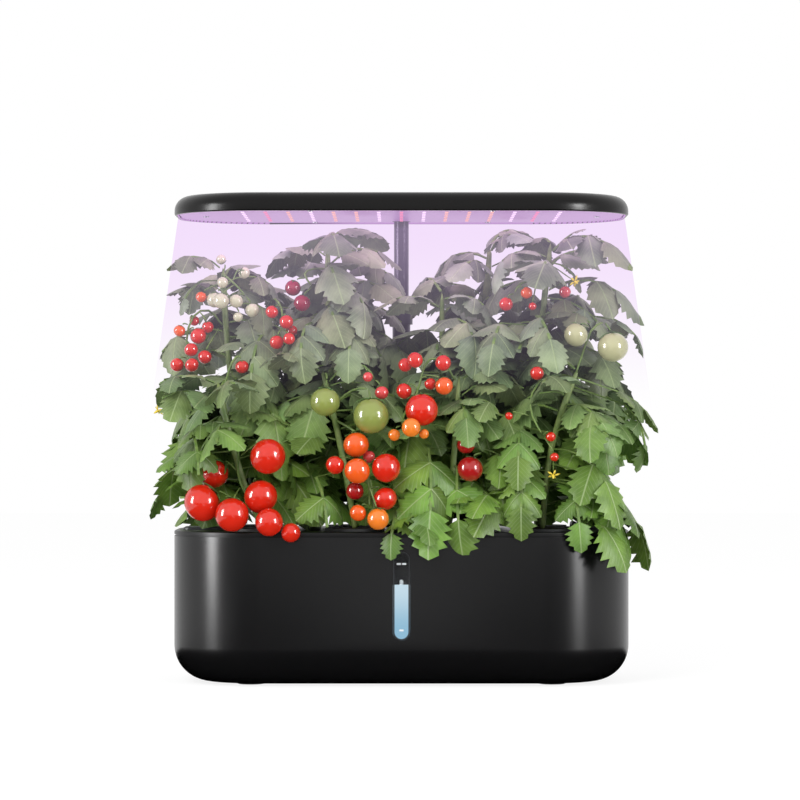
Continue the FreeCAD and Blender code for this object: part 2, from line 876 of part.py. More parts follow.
# Where each plant's stem ends, from the front left basket to the back right one
stem_tops = (
    (-152.0, -68.0, 252.0), (-66.0, -62.0, 262.0), (48.0, -66.0, 262.0), (146.0, -68.0, 262.0),
    (-150.0, -18.0, 350.0), (-62.0, -14.0, 374.0), (34.0, -12.0, 330.0), (126.0, -14.0, 372.0),
    (-128.0, 54.0, 340.0), (-50.0, 42.0, 352.0), (76.0, 40.0, 374.0), (150.0, 52.0, 318.0),
)

# Trusses: the stalk's points from its stem outwards, then each fruit's centre,
# radius and ripeness
trusses = (
    (((-133, -64, 200), (-133, -78, 196), (-135, -80, 182), (-134, -78, 168), (-124, -80, 150),
      (-110, -88, 137)),
     ((-109, -104, 189, 14.7, "red"), (-163, -94, 151, 15.5, "red"), (-138, -108, 141.5, 13.8, "red"),
      (-115, -98, 156, 13.9, "red"), (-107.6, -114, 135.6, 11.4, "red"), (-90, -110, 127, 8.0, "red"),
      (-154.5, -78, 175, 12.3, "red"))),
    (((-54, -62, 218), (-46, -82, 214), (-30, -90, 206), (-27, -90, 178), (-26, -98, 158), (-26, -104, 148)),
     ((-37, -105, 198.4, 10.6, "orange"), (-54, -112, 182, 7.7, "red"), (-36, -118, 177.3, 10.5, "red"),
      (-12.5, -112, 179.7, 11.8, "red"), (-13.3, -106, 154.5, 9.8, "red"),
      (-37.9, -100, 160.8, 7.3, "red"), (-35.3, -114, 143.2, 6.9, "orange"),
      (-19, -118, 138.4, 8.9, "orange"), (-26.5, -98, 188.5, 5.2, "red"))),
    (((47, -68, 252), (36, -76, 268), (22, -82, 272), (16, -86, 256), (14, -88, 240), (2, -96, 226),
      (0, -98, 214)),
     ((11.1, -96, 267.8, 6.5, "red"), (34.1, -92, 265.5, 6.5, "red"), (34.8, -98, 246.5, 7.4, "orange"),
      (2.1, -92, 242.5, 6.5, "red"), (3, -85, 263.9, 5.7, "red"), (23.6, -90, 248.3, 4.9, "red"),
      (16.4, -106, 226.9, 13.5, "red"), (7.8, -121, 212.6, 7.7, "orange"), (18.4, -112, 207.4, 4.1, "orange"),
      (-6, -106, 206.5, 4.9, "orange"))),
    (((-64, -62, 256), (-62, -78, 258), (-61, -90, 252)),
     ((-62.4, -98, 233.5, 12.3, "green"),)),
    (((-56, -61, 232), (-40, -80, 246), (-27, -92, 244)),
     ((-24.8, -104, 222, 14.7, "green"),)),
    (((139, -66, 240), (150, -62, 272), (156, -60, 296), (168, -62, 300)),
     ((144, -70, 289, 9.9, "pale"), (174.5, -70, 279, 12.8, "pale"))),
    (((45, -64, 214), (50, -80, 216), (58, -84, 210), (66, -86, 192)),
     ((52.7, -92, 198.3, 7.4, "dark"), (56, -98, 178.7, 10.6, "dark"))),
    (((139, -66, 238), (122, -82, 262), (104, -84, 240), (106, -88, 222), (116, -90, 206)),
     ((111, -92, 257, 5.7, "red"), (88, -95, 222, 3.3, "red"), (122, -98, 205, 4.1, "red"),
      (125, -98, 188.5, 3.7, "red"))),
    (((-143, -14, 300), (-160, -26, 314), (-176, -38, 308), (-180, -40, 284), (-178, -44, 270)),
     ((-184.8, -44, 293.1, 5.0, "orange"), (-169.2, -45, 288.8, 6.7, "red"), (-161.8, -34, 296.5, 5.0, "red"),
      (-173.2, -30, 301.8, 4.2, "red"), (-174.8, -50, 277.2, 5.8, "red"), (-163.4, -50, 271.2, 5.8, "red"),
      (-186.3, -52, 264.6, 5.8, "red"), (-173.6, -60, 264.3, 5.8, "red"))),
    (((-147, -17, 330), (-150, -34, 342), (-148, -46, 340), (-136, -44, 330), (-130, -44, 322)),
     ((-167, -40, 321.4, 4.6, "orange"), (-155.7, -42, 319.1, 6.6, "pale"), (-149.5, -58, 317.5, 6.6, "pale"),
      (-137.2, -52, 317.6, 5.8, "pale"), (-148.4, -54, 333, 4.6, "pale"), (-150.8, -32, 353.2, 4.2, "pale"),
      (-131.4, -36, 341.7, 5.0, "pale"), (-135.6, -54, 304.2, 4.1, "pale"), (-124, -48, 310.1, 5.8, "pale"))),
    (((-123, 54, 296), (-112, 10, 320), (-106, -40, 322), (-98, -52, 312), (-99, -62, 294)),
     ((-107.3, -60, 308.3, 5.4, "red"), (-95.1, -67, 299.8, 5.8, "red"), (-91, -56, 292.5, 5.0, "red"),
      (-103, -70, 282.9, 5.8, "red"), (-92.4, -80, 285.6, 4.9, "red"))),
    (((-150, -67, 246), (-140, -72, 270), (-133, -70, 272)),
     ((-131.5, -70, 262.6, 5.8, "red"),)),
    (((-60, -13, 346), (-74, -30, 346), (-84, -36, 342), (-74, -38, 330)),
     ((-90.5, -40, 328.9, 6.7, "dark"), (-82.6, -48, 316, 7.1, "dark"))),
    (((-63, -62, 250), (-46, -72, 268), (-28, -80, 264), (-22, -82, 252)),
     ((-27.6, -86, 254.1, 4.1, "red"), (-16.2, -90, 241.1, 5.7, "red"))),
    (((124, -13, 330), (112, -30, 336), (98, -40, 334), (94, -44, 324)),
     ((104.2, -44, 324.8, 5.0, "orange"), (86.9, -50, 315.2, 5.8, "red"), (108.9, -50, 313.4, 3.3, "red"))),
    (((125, -13, 334), (134, -26, 338)),
     ((136.5, -36, 325.8, 5.0, "dark"),)),
)

# Small flowers: the centre of each, and the point of the stem that carries it
flower_places = (
    ((-203.0, -30.0, 227.0), (-142.0, -14.0, 262.0)),
    ((144.0, -50.0, 334.0), (126.0, -14.0, 350.0)),
    ((124.0, -100.0, 174.0), (132.0, -63.0, 200.0)),
)

# Leaves that the outline of the foliage is known by: base, tip, droop in
# degrees, roll in degrees and how many pairs of leaflets
marked_leaves = (
    ((-163, -52, 178), (-219, -36, 150), 38, 10, 1),
    ((-160, -40, 196), (-206, -58, 184), 30, -14, 1),
    ((-152, -70, 216), (-192, -92, 204), 60, 0, 2),
    ((-170, -86, 205), (-162, -122, 158), 70, 0, 1),
    ((-172, -74, 158), (-176, -112, 116), 64, 0, 1),
    ((-70, -82, 172), (-54, -122, 110), 62, 0, 1),
    ((-2, -84, 148), (-12, -122, 114), 60, 0, 1),
    ((22, -80, 196), (24, -124, 112), 64, -8, 2),
    ((46, -78, 180), (46, -124, 112), 58, 10, 1),
    ((100, -80, 178), (96, -122, 128), 72, 0, 2),
    ((140, -84, 166), (148, -118, 118), 70, 8, 1),
    ((152, -74, 176), (220, -52, 106), 46, -10, 2),
    ((146, -74, 168), (200, -88, 110), 52, 10, 2),
    ((172, -44, 246), (221, -30, 216), 42, 8, 2),
    ((188, -30, 232), (214, -46, 180), 60, 0, 1),
    ((168, -20, 306), (214, -12, 284), 66, 0, 1),
    ((-168, -20, 336), (-190, -38, 312), 50, 0, 1),
    ((-64, -14, 368), (-82, -26, 383), 20, 0, 1),
    ((76, 34, 366), (98, 12, 380), 24, 0, 1),
    ((126, -14, 362), (150, -30, 384), 20, 10, 1),
    ((126, -14, 352), (156, -30, 334), 60, 0, 1),
    ((-116, -40, 290), (-128, -96, 236), 74, 0, 2),
    ((-76, -50, 300), (-86, -106, 262), 70, 10, 2),
    ((-38, -40, 300), (-46, -96, 262), 70, 0, 2),
    ((84, -50, 300), (70, -104, 268), 74, -8, 2),
    ((112, -50, 306), (128, -108, 270), 70, 10, 2),
    ((54, -66, 236), (62, -122, 208), 66, 0, 2),
    ((150, -56, 226), (174, -106, 186), 70, 10, 2),
    ((98, -66, 214), (94, -120, 172), 66, 0, 2),
    ((30, 58, 250), (46, 126, 222), 60, 0, 2),
    ((-122, 74, 232), (-130, 127, 192), 64, 0, 2),
    ((124, 70, 236), (134, 127, 198), 64, 0, 2),
)


def stem_lines():
    """Each plant's stem as a line of points from its sponge to its top."""
    draw = random.Random(seed)
    lines = []
    for (x, y), top in zip(basket_places(), stem_tops):
        foot = (x, y, sponge_top_z)
        bow = (draw.uniform(-stem_bow, stem_bow), draw.uniform(-stem_bow, stem_bow) * 0.5, 0.0)
        line = [foot]
        for i in range(1, stem_spans + 1):
            t = i / stem_spans
            line.append(plus(along(foot, top, t), times(bow, math.sin(math.pi * t))))
        lines.append([foot, plus(foot, (0.0, 0.0, stem_upright))] + line[1:])
    return lines


def nearest_on_lines(p, lines):
    """The nearest point of any line to p, and the line's direction there."""
    best = None
    for line in lines:
        for a, b in zip(line, line[1:]):
            d = minus(b, a)
            t = min(1.0, max(0.0, dot(minus(p, a), d) / max(dot(d, d), 1e-9)))
            q = along(a, b, t)
            if best is None or length(minus(p, q)) < length(minus(p, best[0])):
                best = (q, unit(d))
    return best


def seated_start(start, onward, lines):
    """A start point moved to the surface of its stem, on the side that faces onward."""
    q, way = nearest_on_lines(start, lines)
    out = minus(onward, q)
    out = unit(minus(out, times(way, dot(out, way))))
    return plus(q, times(out, stem_radius + leaf_gap)), out


def truss_lines(lines):
    """Each truss's stalk, which leaves its stem at a right angle."""
    stalks = []
    for points, _ in trusses:
        first, out = seated_start(points[0], points[1], lines)
        stalks.append([first, plus(first, times(out, 2 * stalk_radius))] + [tuple(p) for p in points[1:]])
    return stalks


def all_fruit():
    return [f for _, group in trusses for f in group]


def pedicel(fruit, stalk, lines):
    """The short stem of one fruit: its crown's direction, its bend and where it leaves the stalk.

    The calyx and the stem have to miss the other fruits, the stalk and the plants' stems."""
    centre = fruit[:3]
    others = [f for f in all_fruit() if f is not fruit]
    bars = [(a, b, stem_radius) for line in lines for a, b in zip(line, line[1:])]
    stalk_bars = [(a, b, stalk_radius) for a, b in zip(stalk, stalk[1:])]
    choices = [along(a, b, i / 5) for a, b in zip(stalk[1:], stalk[2:]) for i in range(6)]
    choices.sort(key=lambda p: length(minus(p, centre)))
    for bend in (2.5, 6.0, 10.0):
        for lift in (0.9, 0.4, 1.8, 4.0, 0.0):
            for sway in (0.0, -0.5, 0.5):
                for place in choices:
                    toward = unit(minus(place, centre))
                    aside = unit(cross(toward, UP))
                    crown = unit(plus(plus(toward, (0.0, 0.0, lift)), times(aside, sway)))
                    seat = plus(centre, times(crown, fruit[3] + leaf_gap))
                    knee = plus(seat, times(crown, bend))
                    if length(minus(place, knee)) < 1.5 or dot(minus(place, seat), crown) < bend:
                        continue
                    if distance_to_segment(centre, knee, place) < fruit[3] + 2 * pedicel_radius:
                        continue
                    rim = ring_of(seat, crown, calyx_share * fruit[3], 8)
                    if any(length(minus(p, f[:3])) < f[3] + 0.5 for p in rim + [seat] for f in others):
                        continue
                    if any(distance_to_segment(p, a, b) < r + 1.2
                           for p in rim + [seat] for a, b, r in stalk_bars):
                        continue
                    if any(distance_to_segment(f[:3], a, b) < f[3] + pedicel_radius + 0.5
                           for f in others for a, b in ((seat, knee), (knee, place))):
                        continue
                    mids = [along(knee, place, i / 6) for i in range(5)]
                    if any(distance_to_segment(p, a, b) < r + 1.2 for p in mids for a, b, r in bars):
                        continue
                    return crown, knee, place
    return unit(plus(unit(minus(choices[0], centre)), UP)), None, None


def leaf_plan(base, tip, droop, roll, pairs):
    """One compound leaf: its midrib points, its side vector and its leaflets.

    The leaf bends down by droop along its length. A leaflet is its two foot
    points, its direction, its cross direction, its length and its width."""
    droop = math.radians(droop)
    chord = minus(tip, base)
    size = length(chord) * (droop / 2) / math.sin(droop / 2)
    side = unit(cross(unit(chord), UP))
    side = turned(side, unit(chord), math.radians(roll))
    heading = turned(unit(chord), side, droop / 2)
    spans = 2 * pairs + 1
    step = size * 0.62 / spans
    points = [base]
    ways = []
    way = heading
    for i in range(spans):
        way = turned(way, side, -droop * 0.8 / spans)
        ways.append(way)
        points.append(plus(points[-1], times(way, step)))
    normal = unit(cross(side, unit(chord)))
    leaflets = []
    for pair in range(pairs):
        span = 2 * pair + 1
        middle = along(points[span], points[span + 1], 0.5)
        way = ways[span]
        for hand in (-1, 1):
            fall = math.radians(16 + 10 * pair)
            out = minus(times(side, hand * math.cos(fall)), times(cross(side, way), math.sin(fall)))
            angle = math.radians(60 - 6 * pair)
            axis = plus(times(way, math.cos(angle)), times(out, math.sin(angle)))
            across = minus(times(way, math.sin(angle)), times(out, math.cos(angle)))
            edge = plus(middle, times(side, hand * midrib_width / 2))
            foot = (minus(edge, times(way, leaflet_foot / 2)), plus(edge, times(way, leaflet_foot / 2)))
            leaflets.append((foot, axis, across, size * (0.37 if pairs < 3 else 0.3),
                             size * (0.235 if pairs < 3 else 0.16), span, hand))
    end = points[-1]
    way = turned(ways[-1], side, -droop * 0.15)
    foot = (minus(end, times(side, midrib_width / 2)), plus(end, times(side, midrib_width / 2)))
    leaflets.append((foot, way, side, size * 0.4, size * 0.27, spans, 0))
    return points, side, normal, leaflets


def leaflet_points(leaflet):
    """Points spread over a leaflet, for the clearance tests."""
    foot, axis, across, size, width = leaflet[:5]
    origin = along(foot[0], foot[1], 0.5)
    for u in (0.15, 0.35, 0.55, 0.75, 0.95):
        for v in (-0.5, -0.25, 0.0, 0.25, 0.5):
            reach = v * (1.0 if u < 0.7 else 0.6 if u < 0.9 else 0.0)
            yield plus(origin, plus(times(axis, u * size), times(across, reach * width)))


def outside_tank(p, margin):
    """Whether a point lies outside the tank's plan by margin."""
    dx = max(abs(p[0]) - (body_width / 2 - corner_radius), 0.0)
    dy = max(abs(p[1]) - (body_depth / 2 - corner_radius), 0.0)
    return math.hypot(dx, dy) > corner_radius + margin


flap_reach = port_x + port_length / 2 + port_rim + flap_overhang - hinge_x


def in_free_air(p, wide):
    """Whether a point of the foliage keeps clear of the deck, pole, flap, panel and hood."""
    if not wide and not (-reach_left < p[0] < reach_right and abs(p[1]) < reach_side):
        return False
    if p[2] > hood_bottom_z - canopy_gap or p[2] < canopy_low_z - 4.0:
        return False
    if p[2] < basket_top_z + deck_clearance and not outside_tank(p, rim_clearance):
        return False
    if math.hypot(p[0], p[1] - pole_y) < outer_tube_radius + collar_wall + pole_clearance:
        return False
    if abs(p[1]) < port_width / 2 + port_rim + flap_overhang + 3.0:
        over = math.hypot(p[0] - hinge_x, p[2] - hinge_z) < flap_reach + 3.0
        if over and p[0] > hinge_x - 12.0:
            return False
    over_panel = abs(p[1]) < panel_width / 2 + 3.0 and abs(p[0] - panel_x) < panel_length / 2 + 3.0
    if p[2] < deck_z + 14.0 and over_panel:
        return False
    return not (p[2] < deck_z + inlet_height + 4.0 and abs(p[0] - inlet_x) < 14.0 and p[1] > inlet_y - 12.0)


def near_line(p, a, b, reach):
    if abs(p[0] - (a[0] + b[0]) / 2) > abs(a[0] - b[0]) / 2 + reach:
        return False
    if abs(p[1] - (a[1] + b[1]) / 2) > abs(a[1] - b[1]) / 2 + reach:
        return False
    if abs(p[2] - (a[2] + b[2]) / 2) > abs(a[2] - b[2]) / 2 + reach:
        return False
    return distance_to_segment(p, a, b) < reach


def clear_point(p, wide, obstacles, start):
    """Whether one point of a leaf misses all that isn't a leaf."""
    if not in_free_air(p, wide):
        return False
    for f in obstacles["fruit"]:
        dx = p[0] - f[0]
        dz = p[2] - f[2]
        near = dx * dx + dz * dz
        if near < (f[3] + fruit_clearance) ** 2:
            dy = p[1] - f[1]
            if near + dy * dy < (f[3] + fruit_clearance) ** 2:
                return False
            if dy < 0 and not wide and near < (0.8 * f[3]) ** 2:
                return False
    at_root = length(minus(p, start)) < 4 * stem_radius
    for a, b, r in obstacles["lines"]:
        if near_line(p, a, b, r + (root_clearance if at_root else stem_clearance)):
            return False
    return True


def fitted_leaf(start, out, base, tip, droop, roll, pairs, wide, obstacles):
    """A leaf with the leaflets that have room, or None if its midrib or most of them have not.

    It starts at the surface of a stem that faces out. A base away from there gets a petiole."""
    points, side, normal, leaflets = leaf_plan(base, tip, droop, roll, pairs)
    root = plus(start, times(out, sheet_thickness * max(0.0, dot(normal, out))))
    if length(minus(base, start)) > petiole_least:
        points = [root] + points
        leaflets = [x[:5] + (x[5] + 1, x[6]) for x in leaflets]
    else:
        move = minus(root, base)
        points, side, normal, leaflets = leaf_plan(root, plus(tip, move), droop, roll, pairs)
    for a, b in zip(points, points[1:]):
        for t in (0.35, 0.7, 1.0):
            if not clear_point(along(a, b, t), wide, obstacles, start):
                return None
    kept = [x for x in leaflets if all(clear_point(p, wide, obstacles, start) for p in leaflet_points(x))]
    if len(kept) < len(leaflets) - pairs:
        return None
    return points, side, normal, kept


def leaf_middle(leaf):
    foot, axis, _, size = leaf[3][-1][:4]
    return plus(foot[0], times(axis, size / 2))


def grow_leaves(lines, stalks, sprigs):
    """All the compound leaves: the marked ones first, then a spiral of them up each stem."""
    solid_lines = [(a, b, stem_radius) for line in lines for a, b in zip(line, line[1:])]
    solid_lines += [(a, b, stalk_radius) for line in stalks for a, b in zip(line, line[1:])]
    solid_lines += sprigs
    obstacles = {"fruit": all_fruit(), "lines": solid_lines}
    draw = random.Random(seed + 1)
    leaves = []
    for base, tip, droop, roll, pairs in marked_leaves:
        start, out = seated_start(base, tip, lines)
        if length(minus(base, start)) > petiole_least:
            start, out = seated_start(base, base, lines)
        leaf = fitted_leaf(start, out, base, tip, droop, roll, pairs, True, obstacles)
        if leaf:
            leaves.append(leaf)
        else:
            print("marked leaf has no room", base, tip)
    middles = [leaf_middle(leaf) for leaf in leaves]
    for number, line in enumerate(lines):
        height = line[-1][2] - line[0][2]
        sites = int(height / leaf_pitch)
        spin = draw.uniform(0, 360)
        for k in range(sites):
            t = 0.1 + 0.89 * (k / max(sites - 1, 1)) ** 0.85
            level = line[0][2] + t * height
            span = next(i for i in range(1, len(line)) if line[i][2] > level or i == len(line) - 1)
            low, high = line[span - 1], line[span]
            root = along(low, high, (level - low[2]) / (high[2] - low[2]))
            for attempt in range(9):
                turn = spin + 137.5 * k + draw.uniform(-16, 16) + 40.0 * attempt
                size = (leaf_reach_low + (leaf_reach_high - leaf_reach_low) * t ** 2)
                size *= draw.uniform(0.82, 1.12) * (1.0 - 0.05 * attempt)
                rise = draw.uniform(-20, 12) - 26.0 * math.sin(math.pi * t) + 12.0 * t
                flat = math.cos(math.radians(rise)) * size
                out = (math.cos(math.radians(turn)), math.sin(math.radians(turn)), 0.0)
                tip = plus(root, (out[0] * flat, out[1] * flat, math.sin(math.radians(rise)) * size))
                start, out = seated_start(root, plus(root, out), [line])
                droop = draw.uniform(60, 100)
                roll = draw.uniform(-22, 22)
                leaf = fitted_leaf(start, out, start, tip, droop, roll, 2, False, obstacles)
                if not leaf:
                    continue
                middle = leaf_middle(leaf)
                if any(length(minus(middle, m)) < leaf_least_apart for m in middles):
                    continue
                leaves.append(leaf)
                middles.append(middle)
                break
    return leaves


# Plant solids

def loop_face(points):
    corners = [Vector(*p) for p in points]
    return Part.Face(Part.makePolygon(corners + corners[:1]))


def sheet_solid(loops, offset):
    """A folded sheet of flat faces, given a thickness by moving a copy of it by offset."""
    loops = [[tuple(p) for p in loop] for loop in loops]
    rim = {}
    for loop in loops:
        for a, b in zip(loop, loop[1:] + loop[:1]):
            key = frozenset((a, b))
            rim[key] = None if key in rim else (a, b)
    walls = [[a, b, plus(b, offset), plus(a, offset)] for a, b in filter(None, rim.values())]
    under = [[plus(p, offset) for p in loop] for loop in loops]
    solid = Part.Solid(Part.makeShell([loop_face(loop) for loop in loops + under + walls]))
    if solid.Volume < 0:
        solid.reverse()
    return solid


def leaf_solid(leaf):
    """The leaf as one folded sheet: a narrow midrib strip with its leaflets on its edges."""
    points, side, normal, leaflets = leaf
    half = times(side, midrib_width / 2)
    feet = {(x[5], x[6]): x[0] for x in leaflets}
    loops = []
    for span, (a, b) in enumerate(zip(points, points[1:])):
        right = [plus(a, half)] + list(feet.get((span, 1), ())) + [plus(b, half)]
        left = [minus(a, half)] + list(feet.get((span, -1), ())) + [minus(b, half)]
        loops.append(right + left[::-1])
    for foot, axis, across, size, width, _, _ in leaflets:
        origin = along(foot[0], foot[1], 0.5)
        loop = [foot[0]]
        for u, v in ((0.3, -0.5), (0.68, -0.4), (1.0, 0.0), (0.68, 0.4), (0.3, 0.5)):
            loop.append(plus(origin, plus(times(axis, u * size), times(across, v * width))))
        loops.append(loop + [foot[1]])
    return sheet_solid(loops, times(normal, -sheet_thickness))


def ring_of(centre, axis, radius, sides):
    """The corners of a regular polygon square to axis."""
    start = unit(cross(axis, (0.37, 0.92, 0.11)))
    return [plus(centre, times(turned(start, axis, 2 * math.pi * i / sides), radius)) for i in range(sides)]


def mitred_bar(points, radius, sides):
    """A bar of constant section along a line of points, mitred where it bends."""
    ways = [unit(minus(b, a)) for a, b in zip(points, points[1:])]
    rings = [ring_of(points[0], ways[0], radius, sides)]
    for i, way in enumerate(ways):
        plane = unit(plus(way, ways[i + 1])) if i + 1 < len(ways) else way
        target = points[i + 1]
        ring = [plus(p, times(way, dot(minus(target, p), plane) / dot(way, plane))) for p in rings[-1]]
        rings.append(ring)
    faces = [loop_face(rings[0]), loop_face(rings[-1])]
    for low, high in zip(rings, rings[1:]):
        for i in range(sides):
            j = (i + 1) % sides
            faces.append(loop_face([low[i], low[j], high[j], high[i]]))
    solid = Part.Solid(Part.makeShell(faces))
    if solid.Volume < 0:
        solid.reverse()
    return solid


def star_solid(centre, axis, outer, inner, points, thickness):
    """A flat star of the given thickness that faces axis."""
    start = unit(cross(axis, (0.21, 0.13, 0.97)))
    loop = []
    for i in range(2 * points):
        reach = outer if i % 2 == 0 else inner
        loop.append(plus(centre, times(turned(start, axis, math.pi * i / points), reach)))
    return loop_face(loop).extrude(Vector(*times(axis, thickness)))


def plants():
    """All the plant pieces: stems, trusses with their pedicels, fruit, calyxes, flowers, leaves."""
    lines = stem_lines()
    stalks = truss_lines(lines)
    bars = [mitred_bar(stalk, stalk_radius, 4) for stalk in stalks]
    ripe = []
    unripe = []
    calyxes = []
    sprigs = []
    for stalk, (_, group) in zip(stalks, trusses):
        for fruit in group:
            centre = fruit[:3]
            ball = Part.makeSphere(fruit[3], Vector(*centre))
            (unripe if fruit[4] in ("green", "pale") else ripe).append(ball)
            crown, knee, place = pedicel(fruit, stalk, lines)
            seat = plus(centre, times(crown, fruit[3] + leaf_gap))
            calyxes.append(star_solid(seat, crown, calyx_share * fruit[3], 0.2 * fruit[3] + 0.4,
                                      sepals, calyx_thickness))
            if place is None:
                print("no pedicel for", fruit)
                continue
            top = plus(seat, times(crown, calyx_thickness))
            bars.append(mitred_bar([top, knee, place], pedicel_radius, 4))
            sprigs += [(top, knee, pedicel_radius), (knee, place, pedicel_radius)]
    blooms = []
    for centre, root in flower_places:
        start, _ = seated_start(root, centre, lines)
        face = unit(minus(centre, start))
        stalk_end = plus(centre, times(face, -leaf_gap))
        bars.append(mitred_bar([start, along(start, stalk_end, 0.5), stalk_end], pedicel_radius, 4))
        sprigs += [(start, stalk_end, pedicel_radius), (centre, centre, petal_reach)]
        blooms.append(star_solid(centre, face, petal_reach, 0.4 * petal_reach, 5, calyx_thickness))
    leaves = grow_leaves(lines, stalks, sprigs)
    print("leaves", len(leaves), "leaflets", sum(len(x[3]) for x in leaves), "fruit", len(all_fruit()))
    save("plant_stems", *[mitred_bar(line, stem_radius, 6) for line in lines])
    save("plant_leaves", *[leaf_solid(leaf) for leaf in leaves])
    save("fruit_trusses", *bars)
    save("ripe_tomatoes", *ripe)
    save("green_tomatoes", *unripe)
    save("calyxes", *calyxes)
    save("flowers", *blooms)


def main():
    os.makedirs("parts", exist_ok=True)
    save("tank_shell", tank_shell())
    save("rubber_feet", *rubber_feet())
    save("window_bezel", window_bezel())
    save("window_lens", window_lens())
    save("level_marks", *level_marks())
    save("gauge_channel", gauge_channel())
    save("gauge_water", gauge_water())
    save("level_float", level_float())
    save("suction_cups", *suction_cups())
    save("pump_body", pump_body())
    save("pump_cover", pump_cover())
    save("filter_sponge", filter_sponge())
    save("impeller_shaft", impeller_shaft())
    save("impeller", impeller())
    save("riser_pipe", riser_pipe())
    save("grow_deck", grow_deck())
    for number, (x, y) in enumerate(basket_places(), 1):
        save("net_basket_%02d" % number, net_basket(x, y))
    save("sponges", *[sponge(x, y) for x, y in basket_places()])
    save("fill_flap", fill_flap())
    save("flap_pin", flap_pin())
    save("control_panel", control_panel())
    save("pilot_lamps", *pilot_lamps())
    save("light_button", push_button(*button_places[0]))
    save("pump_button", push_button(*button_places[1]))
    save("control_board", control_board())
    save("tact_switches", *tact_switches())
    save("inlet_housing", inlet_housing())
    save("power_jack", power_jack())
    save("pole_socket", pole_socket())
    save("socket_screws", *socket_screws())
    save("pole_outer_tube", pole_outer_tube())
    save("pole_middle_tube", pole_middle_tube())
    save("pole_inner_tube", pole_inner_tube())
    save("lower_collar", collar(outer_tube_radius, middle_tube_radius, outer_tube_top_z))
    save("upper_collar", collar(middle_tube_radius, inner_tube_radius, middle_tube_top_z))
    save("hood_cover", hood_cover())
    save("pole_head", pole_head())
    save("lamp_board", lamp_board())
    save("lamps_white", *lamps("W"))
    save("lamps_red", *lamps("R"))
    save("lamps_warm", *lamps("Y"))
    save("hood_screws", *hood_screws())
    plants()


main()
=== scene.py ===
import bpy
import bmesh
import json
import math
import random
from mathutils import Matrix, Vector
from mathutils.kdtree import KDTree

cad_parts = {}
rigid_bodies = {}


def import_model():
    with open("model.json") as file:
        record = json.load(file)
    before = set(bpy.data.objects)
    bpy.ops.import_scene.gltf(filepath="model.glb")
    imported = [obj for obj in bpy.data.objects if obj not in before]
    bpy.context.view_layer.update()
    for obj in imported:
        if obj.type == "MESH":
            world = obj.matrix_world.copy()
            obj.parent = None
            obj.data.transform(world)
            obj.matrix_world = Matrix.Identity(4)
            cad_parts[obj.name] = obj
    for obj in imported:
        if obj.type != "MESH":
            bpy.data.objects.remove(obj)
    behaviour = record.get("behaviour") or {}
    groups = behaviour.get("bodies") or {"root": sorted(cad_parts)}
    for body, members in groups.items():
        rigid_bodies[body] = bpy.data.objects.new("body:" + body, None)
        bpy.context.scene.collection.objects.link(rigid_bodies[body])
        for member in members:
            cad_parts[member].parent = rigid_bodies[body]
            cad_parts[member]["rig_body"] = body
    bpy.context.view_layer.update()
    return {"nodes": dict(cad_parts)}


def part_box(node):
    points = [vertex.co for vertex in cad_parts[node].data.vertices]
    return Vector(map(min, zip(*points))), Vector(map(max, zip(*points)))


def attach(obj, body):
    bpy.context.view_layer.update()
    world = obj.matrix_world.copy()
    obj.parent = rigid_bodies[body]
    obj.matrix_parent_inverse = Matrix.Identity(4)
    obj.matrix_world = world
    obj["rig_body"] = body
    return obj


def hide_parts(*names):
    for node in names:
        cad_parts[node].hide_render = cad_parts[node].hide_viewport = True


# A countertop hydroponic garden, dressed over its solids: metres, +Z up, front at -Y.

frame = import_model()
nodes = frame["nodes"]

MM = 0.001
seed = 11

# Sizes that the dressing shares with the solids
body_half_x = 0.190
body_half_y = 0.100
corner_radius = 0.075
hood_bottom_z = 0.390
water_low_z = 0.045
water_high_z = 0.084
leaf_sheet = 1.2 * MM
sheet_slack = 0.1 * MM

# Heights between which the leaves turn from green to a paler grey, which is painted haze of the lamp
# light, and where the lamp light ends
green_below_z = 0.165
painted_haze_above_z = 0.31
light_low_z = 0.215

# How a solid's mesh is cleaned, smoothed and rounded
join_gap = 1e-5
flat_angle = 0.012
sharp_angle = 32.0
bar_swell = 0.0003
bar_rounding = 1
rim_margin = 0.0002


# Colours and plain finishes

def tint(red, green, blue):
    """A screen colour, 0 to 255 each, as the linear colour that shaders take."""
    def linear(c):
        c /= 255.0
        return c / 12.92 if c <= 0.04045 else ((c + 0.055) / 1.055) ** 2.4
    return (linear(red), linear(green), linear(blue), 1.0)


def finish(name, colour, roughness, **more):
    """A plain finish. more sets other sockets of the shader by name, with _ for a space."""
    material = bpy.data.materials.new(name)
    material.use_nodes = True
    shader = material.node_tree.nodes["Principled BSDF"]
    shader.inputs["Base Color"].default_value = colour
    shader.inputs["Roughness"].default_value = roughness
    for key, value in more.items():
        shader.inputs[key.replace("_", " ")].default_value = value
    return material


def shader_of(material):
    return material.node_tree.nodes["Principled BSDF"]


def link(material, source, target):
    material.node_tree.links.new(source, target)


def node(tree, kind, **settings):
    made = tree.nodes.new(kind)
    for key, value in settings.items():
        setattr(made, key, value)
    return made


def make_group(name, ins, outs):
    """An empty shader node group. ins and outs are (name, socket kind, default) rows."""
    tree = bpy.data.node_groups.new(name, "ShaderNodeTree")
    for label, kind, default in ins:
        socket = tree.interface.new_socket(label, in_out="INPUT", socket_type=kind)
        if default is not None:
            socket.default_value = default
    for label, kind, _ in outs:
        tree.interface.new_socket(label, in_out="OUTPUT", socket_type=kind)
    return tree, tree.nodes.new("NodeGroupInput"), tree.nodes.new("NodeGroupOutput")


